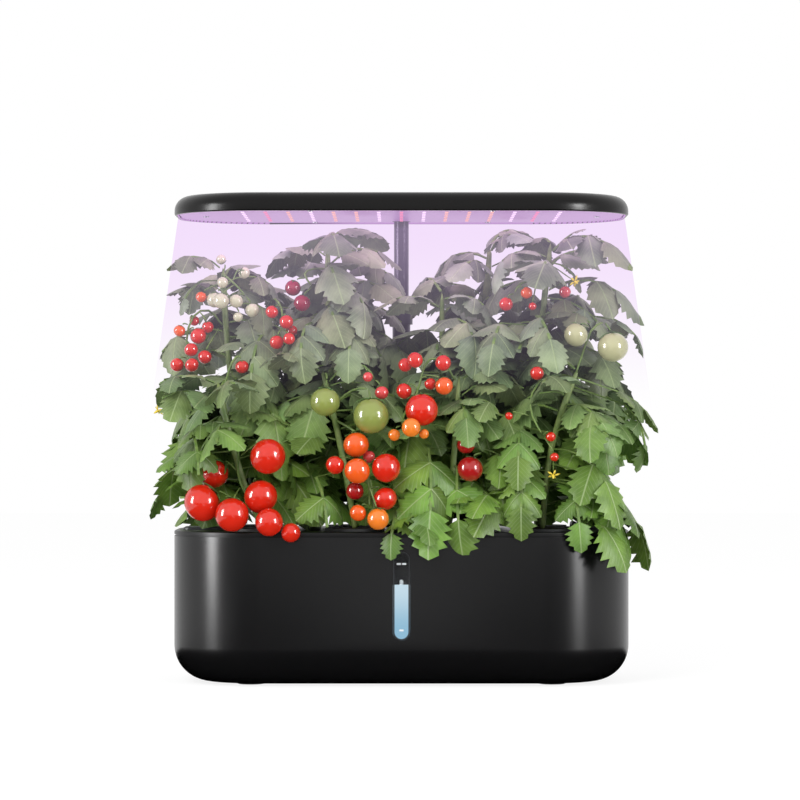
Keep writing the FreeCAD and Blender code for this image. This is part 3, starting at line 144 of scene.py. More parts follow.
def mottle_group():
    """Two colours mixed by soft noise over the surface, and the noise itself."""
    tree, start, end = make_group(
        "mottle",
        (("First", "NodeSocketColor", None), ("Second", "NodeSocketColor", None),
         ("Grain", "NodeSocketFloat", 40.0), ("Contrast", "NodeSocketFloat", 1.0)),
        (("Colour", "NodeSocketColor", None), ("Mask", "NodeSocketFloat", None)))
    place = node(tree, "ShaderNodeTexCoord")
    noise = node(tree, "ShaderNodeTexNoise")
    noise.inputs["Detail"].default_value = 3.0
    spread = node(tree, "ShaderNodeMath", operation="MULTIPLY_ADD", use_clamp=True)
    centre = node(tree, "ShaderNodeMath", operation="SUBTRACT")
    centre.inputs[1].default_value = 0.5
    mix = node(tree, "ShaderNodeMix", data_type="RGBA")
    tree.links.new(place.outputs["Object"], noise.inputs["Vector"])
    tree.links.new(start.outputs["Grain"], noise.inputs["Scale"])
    tree.links.new(noise.outputs["Fac"], centre.inputs[0])
    tree.links.new(centre.outputs[0], spread.inputs[0])
    tree.links.new(start.outputs["Contrast"], spread.inputs[1])
    spread.inputs[2].default_value = 0.5
    tree.links.new(spread.outputs[0], mix.inputs["Factor"])
    tree.links.new(start.outputs["First"], mix.inputs["A"])
    tree.links.new(start.outputs["Second"], mix.inputs["B"])
    tree.links.new(mix.outputs["Result"], end.inputs["Colour"])
    tree.links.new(spread.outputs[0], end.inputs["Mask"])
    return tree


def height_group():
    """A mask that rises from 0 at Low to 1 at High, over the height in the object."""
    tree, start, end = make_group(
        "rise",
        (("Low", "NodeSocketFloat", 0.0), ("High", "NodeSocketFloat", 1.0)),
        (("Mask", "NodeSocketFloat", None),))
    place = node(tree, "ShaderNodeTexCoord")
    split = node(tree, "ShaderNodeSeparateXYZ")
    ramp = node(tree, "ShaderNodeMapRange", interpolation_type="SMOOTHSTEP")
    tree.links.new(place.outputs["Object"], split.inputs[0])
    tree.links.new(split.outputs["Z"], ramp.inputs["Value"])
    tree.links.new(start.outputs["Low"], ramp.inputs["From Min"])
    tree.links.new(start.outputs["High"], ramp.inputs["From Max"])
    tree.links.new(ramp.outputs["Result"], end.inputs["Mask"])
    return tree


def vein_group():
    """The rib and the side veins of a leaflet, read from its own UV map: U across, V along."""
    tree, start, end = make_group(
        "veins",
        (("Veins", "NodeSocketFloat", 8.0), ("Rib width", "NodeSocketFloat", 0.035)),
        (("Rib", "NodeSocketFloat", None), ("Web", "NodeSocketFloat", None)))
    place = node(tree, "ShaderNodeUVMap", uv_map="UVMap")
    split = node(tree, "ShaderNodeSeparateXYZ")
    tree.links.new(place.outputs["UV"], split.inputs[0])
    off = node(tree, "ShaderNodeMath", operation="SUBTRACT")
    off.inputs[1].default_value = 0.5
    tree.links.new(split.outputs["X"], off.inputs[0])
    away = node(tree, "ShaderNodeMath", operation="ABSOLUTE")
    tree.links.new(off.outputs[0], away.inputs[0])
    rib = node(tree, "ShaderNodeMapRange", interpolation_type="SMOOTHSTEP")
    rib.inputs["From Min"].default_value = 0.0
    rib.inputs["To Min"].default_value = 1.0
    rib.inputs["To Max"].default_value = 0.0
    tree.links.new(away.outputs[0], rib.inputs["Value"])
    tree.links.new(start.outputs["Rib width"], rib.inputs["From Max"])
    slope = node(tree, "ShaderNodeMath", operation="MULTIPLY_ADD")
    slope.inputs[1].default_value = -0.85
    tree.links.new(away.outputs[0], slope.inputs[0])
    tree.links.new(split.outputs["Y"], slope.inputs[2])
    count = node(tree, "ShaderNodeMath", operation="MULTIPLY")
    tree.links.new(slope.outputs[0], count.inputs[0])
    tree.links.new(start.outputs["Veins"], count.inputs[1])
    wave = node(tree, "ShaderNodeMath", operation="PINGPONG")
    wave.inputs[1].default_value = 0.5
    tree.links.new(count.outputs[0], wave.inputs[0])
    web = node(tree, "ShaderNodeMapRange", interpolation_type="SMOOTHSTEP")
    web.inputs["From Min"].default_value = 0.0
    web.inputs["From Max"].default_value = 0.12
    web.inputs["To Min"].default_value = 1.0
    web.inputs["To Max"].default_value = 0.0
    tree.links.new(wave.outputs[0], web.inputs["Value"])
    tree.links.new(rib.outputs["Result"], end.inputs["Rib"])
    tree.links.new(web.outputs["Result"], end.inputs["Web"])
    return tree


mottle = mottle_group()
rise = height_group()
veins = vein_group()


def grouped(material, tree, **values):
    made = node(material.node_tree, "ShaderNodeGroup", node_tree=tree)
    for key, value in values.items():
        made.inputs[key.replace("_", " ")].default_value = value
    return made


def mottled(name, first, second, roughness, grain=40.0, contrast=1.0, **more):
    material = finish(name, first, roughness, **more)
    made = grouped(material, mottle, First=first, Second=second, Grain=grain, Contrast=contrast)
    link(material, made.outputs["Colour"], shader_of(material).inputs["Base Color"])
    return material


def leaf_finish(name, low, high, rib_colour):
    """Leaf green that turns a paler grey with height as painted haze of the lamp light, with lighter
    veins and a slightly quilted surface.
    """
    material = finish(name, low, 0.46, Specular_IOR_Level=0.35)
    tree = material.node_tree
    shader = shader_of(material)
    web_share = 0.35
    vein_share = 0.6
    quilt_depth = 0.0006
    # Painted lamp haze: the high leaves take the paler grey colour
    up = grouped(material, rise, Low=green_below_z, High=painted_haze_above_z)
    body = node(tree, "ShaderNodeMix", data_type="RGBA")
    body.inputs["A"].default_value = low
    body.inputs["B"].default_value = high
    link(material, up.outputs["Mask"], body.inputs["Factor"])
    blotch = grouped(material, mottle, First=(0.62, 0.66, 0.6, 1), Second=(1.3, 1.26, 1.2, 1),
                     Grain=55.0, Contrast=2.4)
    shade = node(tree, "ShaderNodeMix", data_type="RGBA", blend_type="MULTIPLY")
    shade.inputs["Factor"].default_value = 1.0
    link(material, body.outputs["Result"], shade.inputs["A"])
    link(material, blotch.outputs["Colour"], shade.inputs["B"])
    tone = node(tree, "ShaderNodeAttribute", attribute_name="tone")
    tuned = node(tree, "ShaderNodeMix", data_type="RGBA", blend_type="MULTIPLY")
    tuned.inputs["Factor"].default_value = 1.0
    link(material, shade.outputs["Result"], tuned.inputs["A"])
    link(material, tone.outputs["Color"], tuned.inputs["B"])
    lines = grouped(material, veins, Veins=8.0, Rib_width=0.035)
    web = node(tree, "ShaderNodeMath", operation="MULTIPLY")
    web.inputs[1].default_value = web_share
    link(material, lines.outputs["Web"], web.inputs[0])
    mask = node(tree, "ShaderNodeMath", operation="MAXIMUM")
    link(material, web.outputs[0], mask.inputs[0])
    link(material, lines.outputs["Rib"], mask.inputs[1])
    part = node(tree, "ShaderNodeMath", operation="MULTIPLY")
    part.inputs[1].default_value = vein_share
    link(material, mask.outputs[0], part.inputs[0])
    veined = node(tree, "ShaderNodeMix", data_type="RGBA")
    veined.inputs["B"].default_value = rib_colour
    link(material, part.outputs[0], veined.inputs["Factor"])
    link(material, tuned.outputs["Result"], veined.inputs["A"])
    link(material, veined.outputs["Result"], shader.inputs["Base Color"])
    bump = node(tree, "ShaderNodeBump")
    bump.inputs["Strength"].default_value = 0.5
    bump.inputs["Distance"].default_value = quilt_depth
    deep = node(tree, "ShaderNodeMath", operation="SUBTRACT")
    deep.inputs[0].default_value = 1.0
    link(material, mask.outputs[0], deep.inputs[1])
    link(material, deep.outputs[0], bump.inputs["Height"])
    link(material, bump.outputs["Normal"], shader.inputs["Normal"])
    return material


def fruit_finish(name):
    """Glossy tomato skin in the colour that each fruit carries."""
    material = finish(name, (0.7, 0.05, 0.02, 1), 0.16, Coat_Weight=0.5, Coat_Roughness=0.06,
                      Specular_IOR_Level=0.5)
    skin = node(material.node_tree, "ShaderNodeAttribute", attribute_name="skin")
    link(material, skin.outputs["Color"], shader_of(material).inputs["Base Color"])
    return material


def water_finish(name, low, high):
    """Water behind the window that glows as painted backlight, paler towards its surface."""
    material = finish(name, (0, 0, 0, 1), 0.3, Specular_IOR_Level=0.1, Emission_Strength=0.9)
    up = grouped(material, rise, Low=water_low_z, High=water_high_z)
    shade = node(material.node_tree, "ShaderNodeMix", data_type="RGBA")
    shade.inputs["A"].default_value = low
    shade.inputs["B"].default_value = high
    link(material, up.outputs["Mask"], shade.inputs["Factor"])
    link(material, shade.outputs["Result"], shader_of(material).inputs["Emission Color"])
    return material


def glowing(name, colour, glow, strength, roughness=0.4):
    return finish(name, colour, roughness, Emission_Color=glow, Emission_Strength=strength)


body_gloss = finish("black gloss shell", tint(15, 15, 16), 0.24, Specular_IOR_Level=0.34)
deck_satin = finish("black satin deck", tint(12, 12, 13), 0.35, Specular_IOR_Level=0.3)
hood_gloss = finish("black gloss hood", tint(12, 11, 11), 0.26, Specular_IOR_Level=0.2)
inner_matt = mottled("matt inner plastic", tint(38, 38, 40), tint(46, 46, 48), 0.7, 200.0)
basket_matt = mottled("basket plastic", tint(40, 41, 43), tint(52, 53, 55), 0.6, 160.0)
trim_satin = finish("grey satin trim", tint(60, 62, 66), 0.4)
rim_satin = finish("window rim", tint(34, 36, 40), 0.35)
lens_clear = finish("clear lens", (1, 1, 1, 1), 0.03, Transmission_Weight=1.0, IOR=1.1)
# The level marks are pale print; their glow is painted backlight from the water
mark_pale_glow = glowing("pale mark", tint(200, 205, 208), tint(200, 205, 208), 0.35)
# The water's glow is painted backlight
water_painted_glow = water_finish("blue water", tint(150, 196, 222), tint(206, 230, 243))
# The float's glow is painted backlight from the water
float_pale_glow = glowing("pale float", tint(190, 196, 200), tint(190, 196, 200), 0.25)
rubber = mottled("black rubber", tint(28, 28, 28), tint(38, 38, 38), 0.85, 300.0)
foam = mottled("dark foam", tint(36, 36, 36), tint(66, 66, 66), 0.95, 900.0, 3.0)
peat = mottled("brown sponge", tint(58, 42, 30), tint(104, 82, 60), 0.95, 700.0, 3.0)
steel = finish("brushed steel", tint(178, 180, 184), 0.32, Metallic=1.0)
ceramic = finish("ceramic", tint(222, 222, 218), 0.3)
magnet = finish("dark magnet", tint(60, 60, 62), 0.6)
pipe_pale = finish("pale pipe", tint(205, 210, 214), 0.35)
key_satin = finish("dark keys", tint(52, 52, 55), 0.45)
pilot_glow = glowing("green pilot", tint(70, 190, 90), tint(70, 190, 90), 0.6)
board_green = finish("circuit board", tint(20, 92, 48), 0.45)
switch_black = finish("black switch plastic", tint(30, 30, 30), 0.6)
pole_satin = finish("satin tube", tint(84, 78, 92), 0.34, Metallic=0.35)
stem_skin = mottled("stem skin", tint(92, 120, 52), tint(140, 158, 92), 0.6, 120.0, 2.5)
sprig_skin = mottled("sprig skin", tint(82, 116, 46), tint(128, 150, 78), 0.6, 160.0, 2.0)
sepal_skin = mottled("sepal skin", tint(54, 92, 34), tint(96, 134, 60), 0.6, 200.0, 2.0)
petal_skin = finish("yellow petal", tint(240, 214, 70), 0.6)
# The paler grey second colour is painted lamp haze over the high leaves
leaf_skin = leaf_finish("tomato leaf", tint(106, 141, 58), tint(132, 142, 118), tint(172, 190, 138))
fruit_skin = fruit_finish("tomato skin")
board_lit = glowing("lit lamp board", tint(150, 120, 160), tint(190, 140, 205), 0.49)
lamp_white = glowing("white lamp", tint(200, 190, 200), tint(244, 222, 244), 0.95)
lamp_red = glowing("red lamp", tint(190, 90, 110), tint(238, 140, 178), 0.85)
lamp_warm = glowing("warm lamp", tint(200, 150, 110), tint(240, 184, 168), 0.85)
rim_lit = glowing("lit hood rim", tint(120, 96, 130), tint(206, 160, 218), 0.7)


# Meshes

def add_object(name, mesh):
    made = bpy.data.objects.new(name, mesh)
    bpy.context.scene.collection.objects.link(made)
    return made


def paint(target, material):
    """Every slot of a piece takes this finish."""
    if not target.material_slots:
        target.data.materials.append(material)
    for slot in target.material_slots:
        slot.material = material


def body_name(cad_name):
    return nodes[cad_name]["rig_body"]


def stand_for(made, cad_name, material):
    """The new piece takes the place, the body and the slot of a solid."""
    paint(made, material)
    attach(made, body_name(cad_name))
    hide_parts(cad_name)


def merged(cad_name):
    """A solid's mesh with its loose triangles joined."""
    work = bmesh.new()
    work.from_mesh(nodes[cad_name].data)
    bmesh.ops.remove_doubles(work, verts=work.verts, dist=join_gap)
    return work


def smooth_skin(cad_name, material):
    """A copy of a solid that is shaded smooth, with its real edges kept sharp."""
    work = merged(cad_name)
    limit = math.radians(sharp_angle)
    for face in work.faces:
        face.smooth = True
    for edge in work.edges:
        edge.smooth = len(edge.link_faces) == 2 and edge.calc_face_angle(0.0) < limit
    mesh = bpy.data.meshes.new(cad_name + "_skin")
    work.to_mesh(mesh)
    work.free()
    stand_for(add_object(cad_name + "_skin", mesh), cad_name, material)


def islands(work):
    """The separate pieces of a mesh, as lists of vertices."""
    seen = set()
    groups = []
    for first in work.verts:
        if first.index in seen:
            continue
        seen.add(first.index)
        group = [first]
        for vert in group:
            for edge in vert.link_edges:
                other = edge.other_vert(vert)
                if other.index not in seen:
                    seen.add(other.index)
                    group.append(other)
        groups.append(group)
    return groups


def middle_of(points):
    return sum(points, Vector()) / len(points)


def clean_polygons(cad_name):
    """A solid with flat faces as whole polygons again."""
    work = merged(cad_name)
    bmesh.ops.dissolve_limit(work, angle_limit=flat_angle, verts=work.verts, edges=work.edges)
    work.verts.index_update()
    work.faces.ensure_lookup_table()
    return work


def rounded_bars(cad_name, material):
    """Thin bars of flat faces, swollen a little and then rounded by subdivision."""
    work = clean_polygons(cad_name)
    work.normal_update()
    for vert in work.verts:
        vert.co += vert.normal * bar_swell
    mesh = bpy.data.meshes.new(cad_name + "_round")
    work.to_mesh(mesh)
    work.free()
    made = add_object(cad_name + "_round", mesh)
    refine = made.modifiers.new("round", "SUBSURF")
    refine.levels = bar_rounding
    refine.render_levels = bar_rounding
    flattened(made)
    for face in made.data.polygons:
        face.use_smooth = True
    stand_for(made, cad_name, material)


def flattened(made):
    """The piece's modifiers become its plain mesh."""
    bpy.context.view_layer.update()
    graph = bpy.context.evaluated_depsgraph_get()
    mesh = bpy.data.meshes.new_from_object(made.evaluated_get(graph))
    made.modifiers.clear()
    made.data = mesh


# Scattered pieces: one Geometry Nodes tree that sets a model at every point

def scatter_tree():
    """Models from a collection at the points, by each point's turn, stretch and kind."""
    tree = bpy.data.node_groups.new("scatter", "GeometryNodeTree")
    for label, kind, way in (("Points", "NodeSocketGeometry", "INPUT"),
                             ("Models", "NodeSocketCollection", "INPUT"),
                             ("Size", "NodeSocketFloat", "INPUT"),
                             ("Finish", "NodeSocketMaterial", "INPUT"),
                             ("Geometry", "NodeSocketGeometry", "OUTPUT")):
        tree.interface.new_socket(label, in_out=way, socket_type=kind)
    start = node(tree, "NodeGroupInput")
    end = node(tree, "NodeGroupOutput")
    models = node(tree, "GeometryNodeCollectionInfo")
    models.inputs["Separate Children"].default_value = True
    models.inputs["Reset Children"].default_value = True
    turn = node(tree, "GeometryNodeInputNamedAttribute", data_type="FLOAT_VECTOR")
    turn.inputs["Name"].default_value = "turn"
    stretch = node(tree, "GeometryNodeInputNamedAttribute", data_type="FLOAT_VECTOR")
    stretch.inputs["Name"].default_value = "stretch"
    kind = node(tree, "GeometryNodeInputNamedAttribute", data_type="INT")
    kind.inputs["Name"].default_value = "kind"
    scale = node(tree, "ShaderNodeVectorMath", operation="SCALE")
    euler = node(tree, "FunctionNodeEulerToRotation")
    place = node(tree, "GeometryNodeInstanceOnPoints")
    place.inputs["Pick Instance"].default_value = True
    real = node(tree, "GeometryNodeRealizeInstances")
    finish_node = node(tree, "GeometryNodeSetMaterial")
    join = tree.links.new
    join(start.outputs["Points"], place.inputs["Points"])
    join(start.outputs["Models"], models.inputs["Collection"])
    join(models.outputs["Instances"], place.inputs["Instance"])
    join(kind.outputs["Attribute"], place.inputs["Instance Index"])
    join(turn.outputs["Attribute"], euler.inputs["Euler"])
    join(euler.outputs["Rotation"], place.inputs["Rotation"])
    join(stretch.outputs["Attribute"], scale.inputs[0])
    join(start.outputs["Size"], scale.inputs["Scale"])
    join(scale.outputs["Vector"], place.inputs["Scale"])
    join(place.outputs["Instances"], real.inputs["Geometry"])
    join(real.outputs["Geometry"], finish_node.inputs["Geometry"])
    join(start.outputs["Finish"], finish_node.inputs["Material"])
    join(finish_node.outputs["Geometry"], end.inputs["Geometry"])
    return tree


scatter = scatter_tree()


def scattered(name, spots, models, material, colours=None, size=1.0):
    """A mesh with a model at each spot. A spot is (place, matrix, stretch, kind, colour)."""
    mesh = bpy.data.meshes.new(name)
    mesh.from_pydata([s[0] for s in spots], [], [])
    columns = [("turn", "FLOAT_VECTOR", "vector", [tuple(s[1].to_euler("XYZ")) for s in spots]),
               ("stretch", "FLOAT_VECTOR", "vector", [tuple(s[2]) for s in spots]),
               ("kind", "INT", "value", [(s[3],) for s in spots])]
    if colours:
        columns.append((colours, "FLOAT_COLOR", "color", [tuple(s[4]) for s in spots]))
    for label, kind, field, rows in columns:
        made = mesh.attributes.new(label, kind, "POINT")
        made.data.foreach_set(field, [value for row in rows for value in row])
    made = add_object(name, mesh)
    box = bpy.data.collections.new(name + "_models")
    bpy.context.scene.collection.children.link(box)
    for model in models:
        box.objects.link(model)
    modifier = made.modifiers.new("scatter", "NODES")
    modifier.node_group = scatter
    sockets = {item.name: item.identifier for item in scatter.interface.items_tree
               if item.in_out == "INPUT"}
    modifier[sockets["Models"]] = box
    modifier[sockets["Size"]] = size
    modifier[sockets["Finish"]] = material
    flattened(made)
    for model in models:
        bpy.data.objects.remove(model)
    bpy.data.collections.remove(box)
    return made


def model_object(name, points, faces, uvs=None, sharp=()):
    """A small model for scattering. uvs holds one pair for each point."""
    mesh = bpy.data.meshes.new(name)
    mesh.from_pydata(points, [], faces)
    mesh.update()
    for face in mesh.polygons:
        face.use_smooth = True
    if uvs:
        layer = mesh.uv_layers.new(name="UVMap")
        for loop in mesh.loops:
            layer.data[loop.index].uv = uvs[loop.vertex_index]
    if sharp:
        edges = mesh.attributes.new("sharp_edge", "BOOLEAN", "EDGE")
        for edge in mesh.edges:
            edges.data[edge.index].value = frozenset(edge.vertices) in sharp
    return bpy.data.objects.new(name, mesh)


def basis(x_way, y_way, z_way):
    """The rotation that takes the axes to these three directions."""
    return Matrix((x_way, y_way, z_way)).transposed()


# Leaflets

# How deep the teeth are cut, from the low leaves to the high ones
notches = (("low", 0.26), ("middle", 0.2), ("high", 0.15))
teeth = 5
rib_stations = (0.0, 0.14, 0.32, 0.50, 0.68, 0.85, 1.0)
leaflet_kinds = 9
leaflet_widen = 1.22
leaflet_lengthen = 1.04
leaflet_tuck = 0.04


def ovate(u):
    """The half width of a leaflet, as a share of its width, at a share of its length."""
    return 1.26 * u ** 0.55 * (1.0 - u) ** 0.75


def triangles_between(first, second, places, flip):
    """Triangles between two lines of points that run the same way, by how far along each is."""
    made = []
    i = 0
    j = 0
    first_end = len(first) - 1
    second_end = len(second) - 1
    while i < first_end or j < second_end:
        if j == second_end or (i < first_end and places[first[i + 1]] <= places[second[j + 1]]):
            corner = (first[i], first[i + 1], second[j])
            i += 1
        else:
            corner = (first[i], second[j + 1], second[j])
            j += 1
        if len(set(corner)) == 3:
            made.append(corner[::-1] if flip else corner)
    return made


def leaflet_model(name, draw, notch):
    """A closed leaflet, one long and one wide: its length along Y, and its upper side at +Z.

    notch is the depth of its teeth, as a share of the half width there."""
    curl = draw.uniform(0.12, 0.40)
    cup = draw.uniform(0.04, 0.20)
    twist = draw.uniform(-0.14, 0.14)
    thick = 0.012
    points = []
    uvs = []
    along = []

    def add(u, v, z):
        drop = -curl * u * u - cup * (2 * abs(v)) ** 1.5 + twist * v * u
        points.append((v, u * (1 - 0.2 * curl * u), z + drop))
        uvs.append((v + 0.5, u))
        along.append(u)
        return len(points) - 1

    base = add(0.0, 0.0, 0.0)
    tip = add(1.0, 0.0, 0.0)
    faces = []
    sharp = set()
    ribs = {level: [base] + [add(u, 0.0, level * thick / 2) for u in rib_stations[1:-1]] + [tip]
            for level in (1, -1)}
    for hand in (-1, 1):
        rim = [base]
        mids = {1: [base], -1: [base]}
        slip = draw.uniform(-0.05, 0.05)
        for tooth in range(teeth):
            depth = notch * draw.uniform(0.7, 1.3)
            low = (tooth + 0.35 + slip) / (teeth + 0.6)
            peak = (tooth + 1.0 + slip) / (teeth + 0.6)
            ripple = draw.uniform(-0.035, 0.035)
            rim.append(add(low, hand * ovate(low) * (1 - depth), ripple))
            rim.append(add(peak, hand * ovate(peak) * (1 + 0.5 * depth), -ripple))
            middle = (low + peak) / 2
            puff = draw.uniform(0.01, 0.04)
            for level in (1, -1):
                mids[level].append(add(middle, hand * 0.52 * ovate(middle), puff + level * thick / 2))
        rim.append(tip)
        for level in (1, -1):
            line = mids[level] + [tip]
            faces += triangles_between(line, ribs[level], along, hand * level < 0)
            faces += triangles_between(rim, line, along, hand * level < 0)
        sharp |= {frozenset(pair) for pair in zip(rim, rim[1:])}
    return model_object(name, points, faces, uvs, sharp)


def read_leaflets(work):
    """Each leaflet of the leaf solids: the middle of its foot, its axes and its size.

    A leaflet is a pair of seven-sided faces, one sheet apart; the upper one counts."""
    plates = [face for face in work.faces if len(face.verts) == 7]
    tree = KDTree(len(plates))
    for i, face in enumerate(plates):
        tree.insert(face.calc_center_median(), i)
    tree.balance()
    found = []
    for i, face in enumerate(plates):
        centre = face.calc_center_median()
        partner = None
        for _, other, gap in tree.find_n(centre, 6):
            if other != i and abs(gap - leaf_sheet) < sheet_slack:
                partner = plates[other].calc_center_median()
        if partner is None or partner.z > centre.z:
            continue
        corners = [v.co.copy() for v in face.verts]
        count = len(corners)
        start = min(range(count), key=lambda k: (corners[k] - corners[k - 1]).length)
        corners = corners[start:] + corners[:start]
        foot = (corners[0] + corners[-1]) / 2
        axis = corners[3] - foot
        across = corners[5] - corners[1]
        found.append((foot, axis, across))
    return plates, found


def leaf_ribs(work, plates):
    """What is left of the leaf solids without their leaflets: the midribs and petioles."""
    plate_set = set(plates)
    gone = set(plates)
    for face in plates:
        shortest = min(face.edges, key=lambda e: e.calc_length())
        for edge in face.edges:
            if edge is shortest:
                continue
            gone |= {other for other in edge.link_faces if other not in plate_set}
    bmesh.ops.delete(work, geom=list(gone), context="FACES")
    bmesh.ops.holes_fill(work, edges=[e for e in work.edges if len(e.link_faces) == 1], sides=8)
    bmesh.ops.recalc_face_normals(work, faces=work.faces)
    mesh = bpy.data.meshes.new("leaf_ribs")
    work.to_mesh(mesh)
    return add_object("leaf_ribs", mesh)


def foliage():
    """Toothed leaflets in the place of the solid ones, on what is left of the solid leaves."""
    draw = random.Random(seed)
    work = clean_polygons("plant_leaves")
    plates, leaflets = read_leaflets(work)
    ribs = leaf_ribs(work, plates)
    work.free()
    spots = []
    for foot, axis, across in leaflets:
        size = axis.length
        width = across.length
        y_way = axis.normalized()
        z_way = across.cross(axis).normalized()
        if z_way.z < 0 and abs(z_way.z) > 0.05:
            z_way = -z_way
        x_way = y_way.cross(z_way)
        turn = basis(x_way, y_way, z_way)
        shade = draw.uniform(0.7, 1.25)
        warm = draw.uniform(-0.07, 0.07)
        colour = (shade * (1 + warm), shade, shade * (1 - warm), 1.0)
        stretch = Vector((leaflet_widen * width, leaflet_lengthen * size, size))
        spots.append((foot - y_way * leaflet_tuck * size, turn, stretch,
                      draw.randrange(leaflet_kinds), colour))
    spots.sort(key=lambda s: s[0].z)
    third = len(spots) // 3
    parts = []
    thirds = (spots[:third], spots[third:2 * third], spots[2 * third:])
    for (label, notch), group in zip(notches, thirds):
        models = [leaflet_model("leaflet_%02d" % i, draw, notch) for i in range(leaflet_kinds)]
        parts.append(scattered("leaflets_" + label, group, models, leaf_skin, "tone"))
    paint(ribs, sprig_skin)
    for made in parts + [ribs]:
        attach(made, "deck")
        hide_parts("plant_leaves")


# Fruit

# Skin colours by ripeness, and the fruits of other colours: X and Z in millimetres
skins = {
    "red": tint(214, 38, 18), "deep": tint(168, 24, 24), "orange": tint(236, 92, 26),
    "amber": tint(240, 128, 40), "pink": tint(222, 74, 74), "green": tint(140, 152, 76),
    "pale": tint(186, 186, 140), "cream": tint(206, 204, 172), "wine": tint(150, 20, 52),
}
odd_fruit = (
    (-37, 198, "orange"), (-36, 177, "orange"), (-35, 143, "orange"), (-19, 138, "amber"),
    (35, 246, "orange"), (8, 213, "amber"), (18, 207, "amber"), (-6, 206, "amber"),
    (-27, 188, "pink"), (-185, 293, "orange"), (-167, 321, "orange"), (104, 325, "orange"),
    (53, 198, "deep"), (56, 179, "deep"), (-38, 161, "deep"), (-90, 329, "wine"),
    (-83, 316, "wine"), (136, 326, "pink"), (-28, 254, "pink"), (-16, 241, "pink"),
    (-62, 233, "green"), (-25, 222, "green"), (144, 289, "pale"), (174, 279, "pale"),
)
same_fruit_mm = 3.0
sepal_kinds = 4


def skin_of(place, unripe):
    """The skin colour of the fruit at a place."""
    best = None
    for x, z, name in odd_fruit:
        gap = math.hypot(place.x / MM - x, place.z / MM - z)
        if gap < same_fruit_mm and (best is None or gap < best[0]):
            best = (gap, name)
    if best:
        return skins[best[1]]
    return skins["cream"] if unripe else skins["red"]


def fruit_spots(cad_name):
    """The centre and radius of each ball in a solid."""
    work = merged(cad_name)
    found = []
    for group in islands(work):
        low = Vector(min(v.co[i] for v in group) for i in range(3))
        high = Vector(max(v.co[i] for v in group) for i in range(3))
        found.append(((low + high) / 2, (high.z - low.z) / 2))
    work.free()
    return found


def tomato_model():
    """A slightly ribbed ball of radius 1, with a dimple at +Z."""
    points = [(0, 0, 0.90)]
    rows = 15
    turns = 30
    for i in range(1, rows):
        polar = math.pi * i / rows
        for k in range(turns):
            angle = 2 * math.pi * k / turns
            dimple = math.exp(-(polar / 0.34) ** 2)
            ribs = 1 - 0.018 * math.exp(-(polar / 0.8) ** 2) * (1 + math.cos(5 * angle))
            out = math.sin(polar) * ribs
            up = math.cos(polar) * (1 - 0.10 * dimple)
            points.append((out * math.cos(angle), out * math.sin(angle), up))
    points.append((0, 0, -1))
    last = len(points) - 1
    faces = []
    for k in range(turns):
        j = (k + 1) % turns
        faces.append((0, 1 + k, 1 + j))
        for i in range(rows - 2):
            a = 1 + i * turns
            faces.append((a + k, a + turns + k, a + turns + j, a + j))
        faces.append((1 + (rows - 2) * turns + k, last, 1 + (rows - 2) * turns + j))
    return model_object("tomato", points, faces)


def sepal_model(name, draw):
    """Five narrow sepals that lie on a ball of radius 1, round its crown at +Z."""
    points = [(0, 0, 1.0), (0, 0, 0.93)]
    faces = []
    turns = 5
    for k in range(turns):
        angle = 2 * math.pi * k / turns + draw.uniform(-0.2, 0.2)
        reach = draw.uniform(0.75, 1.15)
        lift = draw.uniform(0.0, 0.22)
        row = []
        for share, half in ((0.14, 0.075), (0.45, 0.105), (0.76, 0.06)):
            polar = share * reach
            out = 1.0 + lift * share * share
            for hand in (1, -1):
                for level in (0.03, -0.01):
                    x = (out + level) * math.sin(polar)
                    z = (out + level) * math.cos(polar)
                    points.append((x * math.cos(angle) - hand * half * math.sin(angle),
                                   x * math.sin(angle) + hand * half * math.cos(angle), z))
                    row.append(len(points) - 1)
        x = (1.0 + lift) * math.sin(reach)
        points.append((x * math.cos(angle), x * math.sin(angle), (1.0 + lift) * math.cos(reach)))
        tip = len(points) - 1
        for n in (0, 4):
            lt, lb, rt, rb = row[n:n + 4]
            lt2, lb2, rt2, rb2 = row[n + 4:n + 8]
            faces += [(rt, rt2, lt2, lt), (lb, lb2, rb2, rb), (lt, lt2, lb2, lb), (rb, rb2, rt2, rt)]
        lt, lb, rt, rb = row[8:12]
        faces += [(rt, tip, lt), (lb, tip, rb), (lt, tip, lb), (rb, tip, rt)]
        lt, lb, rt, rb = row[0:4]
        faces += [(0, rt, lt), (1, lb, rb), (0, lt, lb, 1), (1, rb, rt, 0)]
    return model_object(name, points, faces)


def fruit():
    """Ribbed balls with their sepals in the place of the solid ones."""
    draw = random.Random(seed + 1)
    crowns = merged("calyxes")
    stars = [middle_of([v.co for v in group]) for group in islands(crowns)]
    crowns.free()
    caps = []
    for cad_name, unripe in (("ripe_tomatoes", False), ("green_tomatoes", True)):
        spots = []
        for centre, radius in fruit_spots(cad_name):
            star = min(stars, key=lambda s: (s - centre).length)
            crown = (star - centre).normalized()
            turn = crown.to_track_quat("Z", "Y").to_matrix()
            squat = draw.uniform(0.93, 1.0)
            stretch = Vector((radius, radius, radius * squat))
            spots.append((centre, turn, stretch, 0, skin_of(centre, unripe)))
            caps.append((centre, turn, stretch, draw.randrange(sepal_kinds), None))
        made = scattered(cad_name + "_skin", spots, [tomato_model()], fruit_skin, "skin")
        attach(made, "deck")
        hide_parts(cad_name)
    models = [sepal_model("sepals_%d" % i, draw) for i in range(sepal_kinds)]
    made = scattered("sepals", caps, models, sepal_skin)
    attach(made, "deck")
    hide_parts("calyxes")


# Flowers

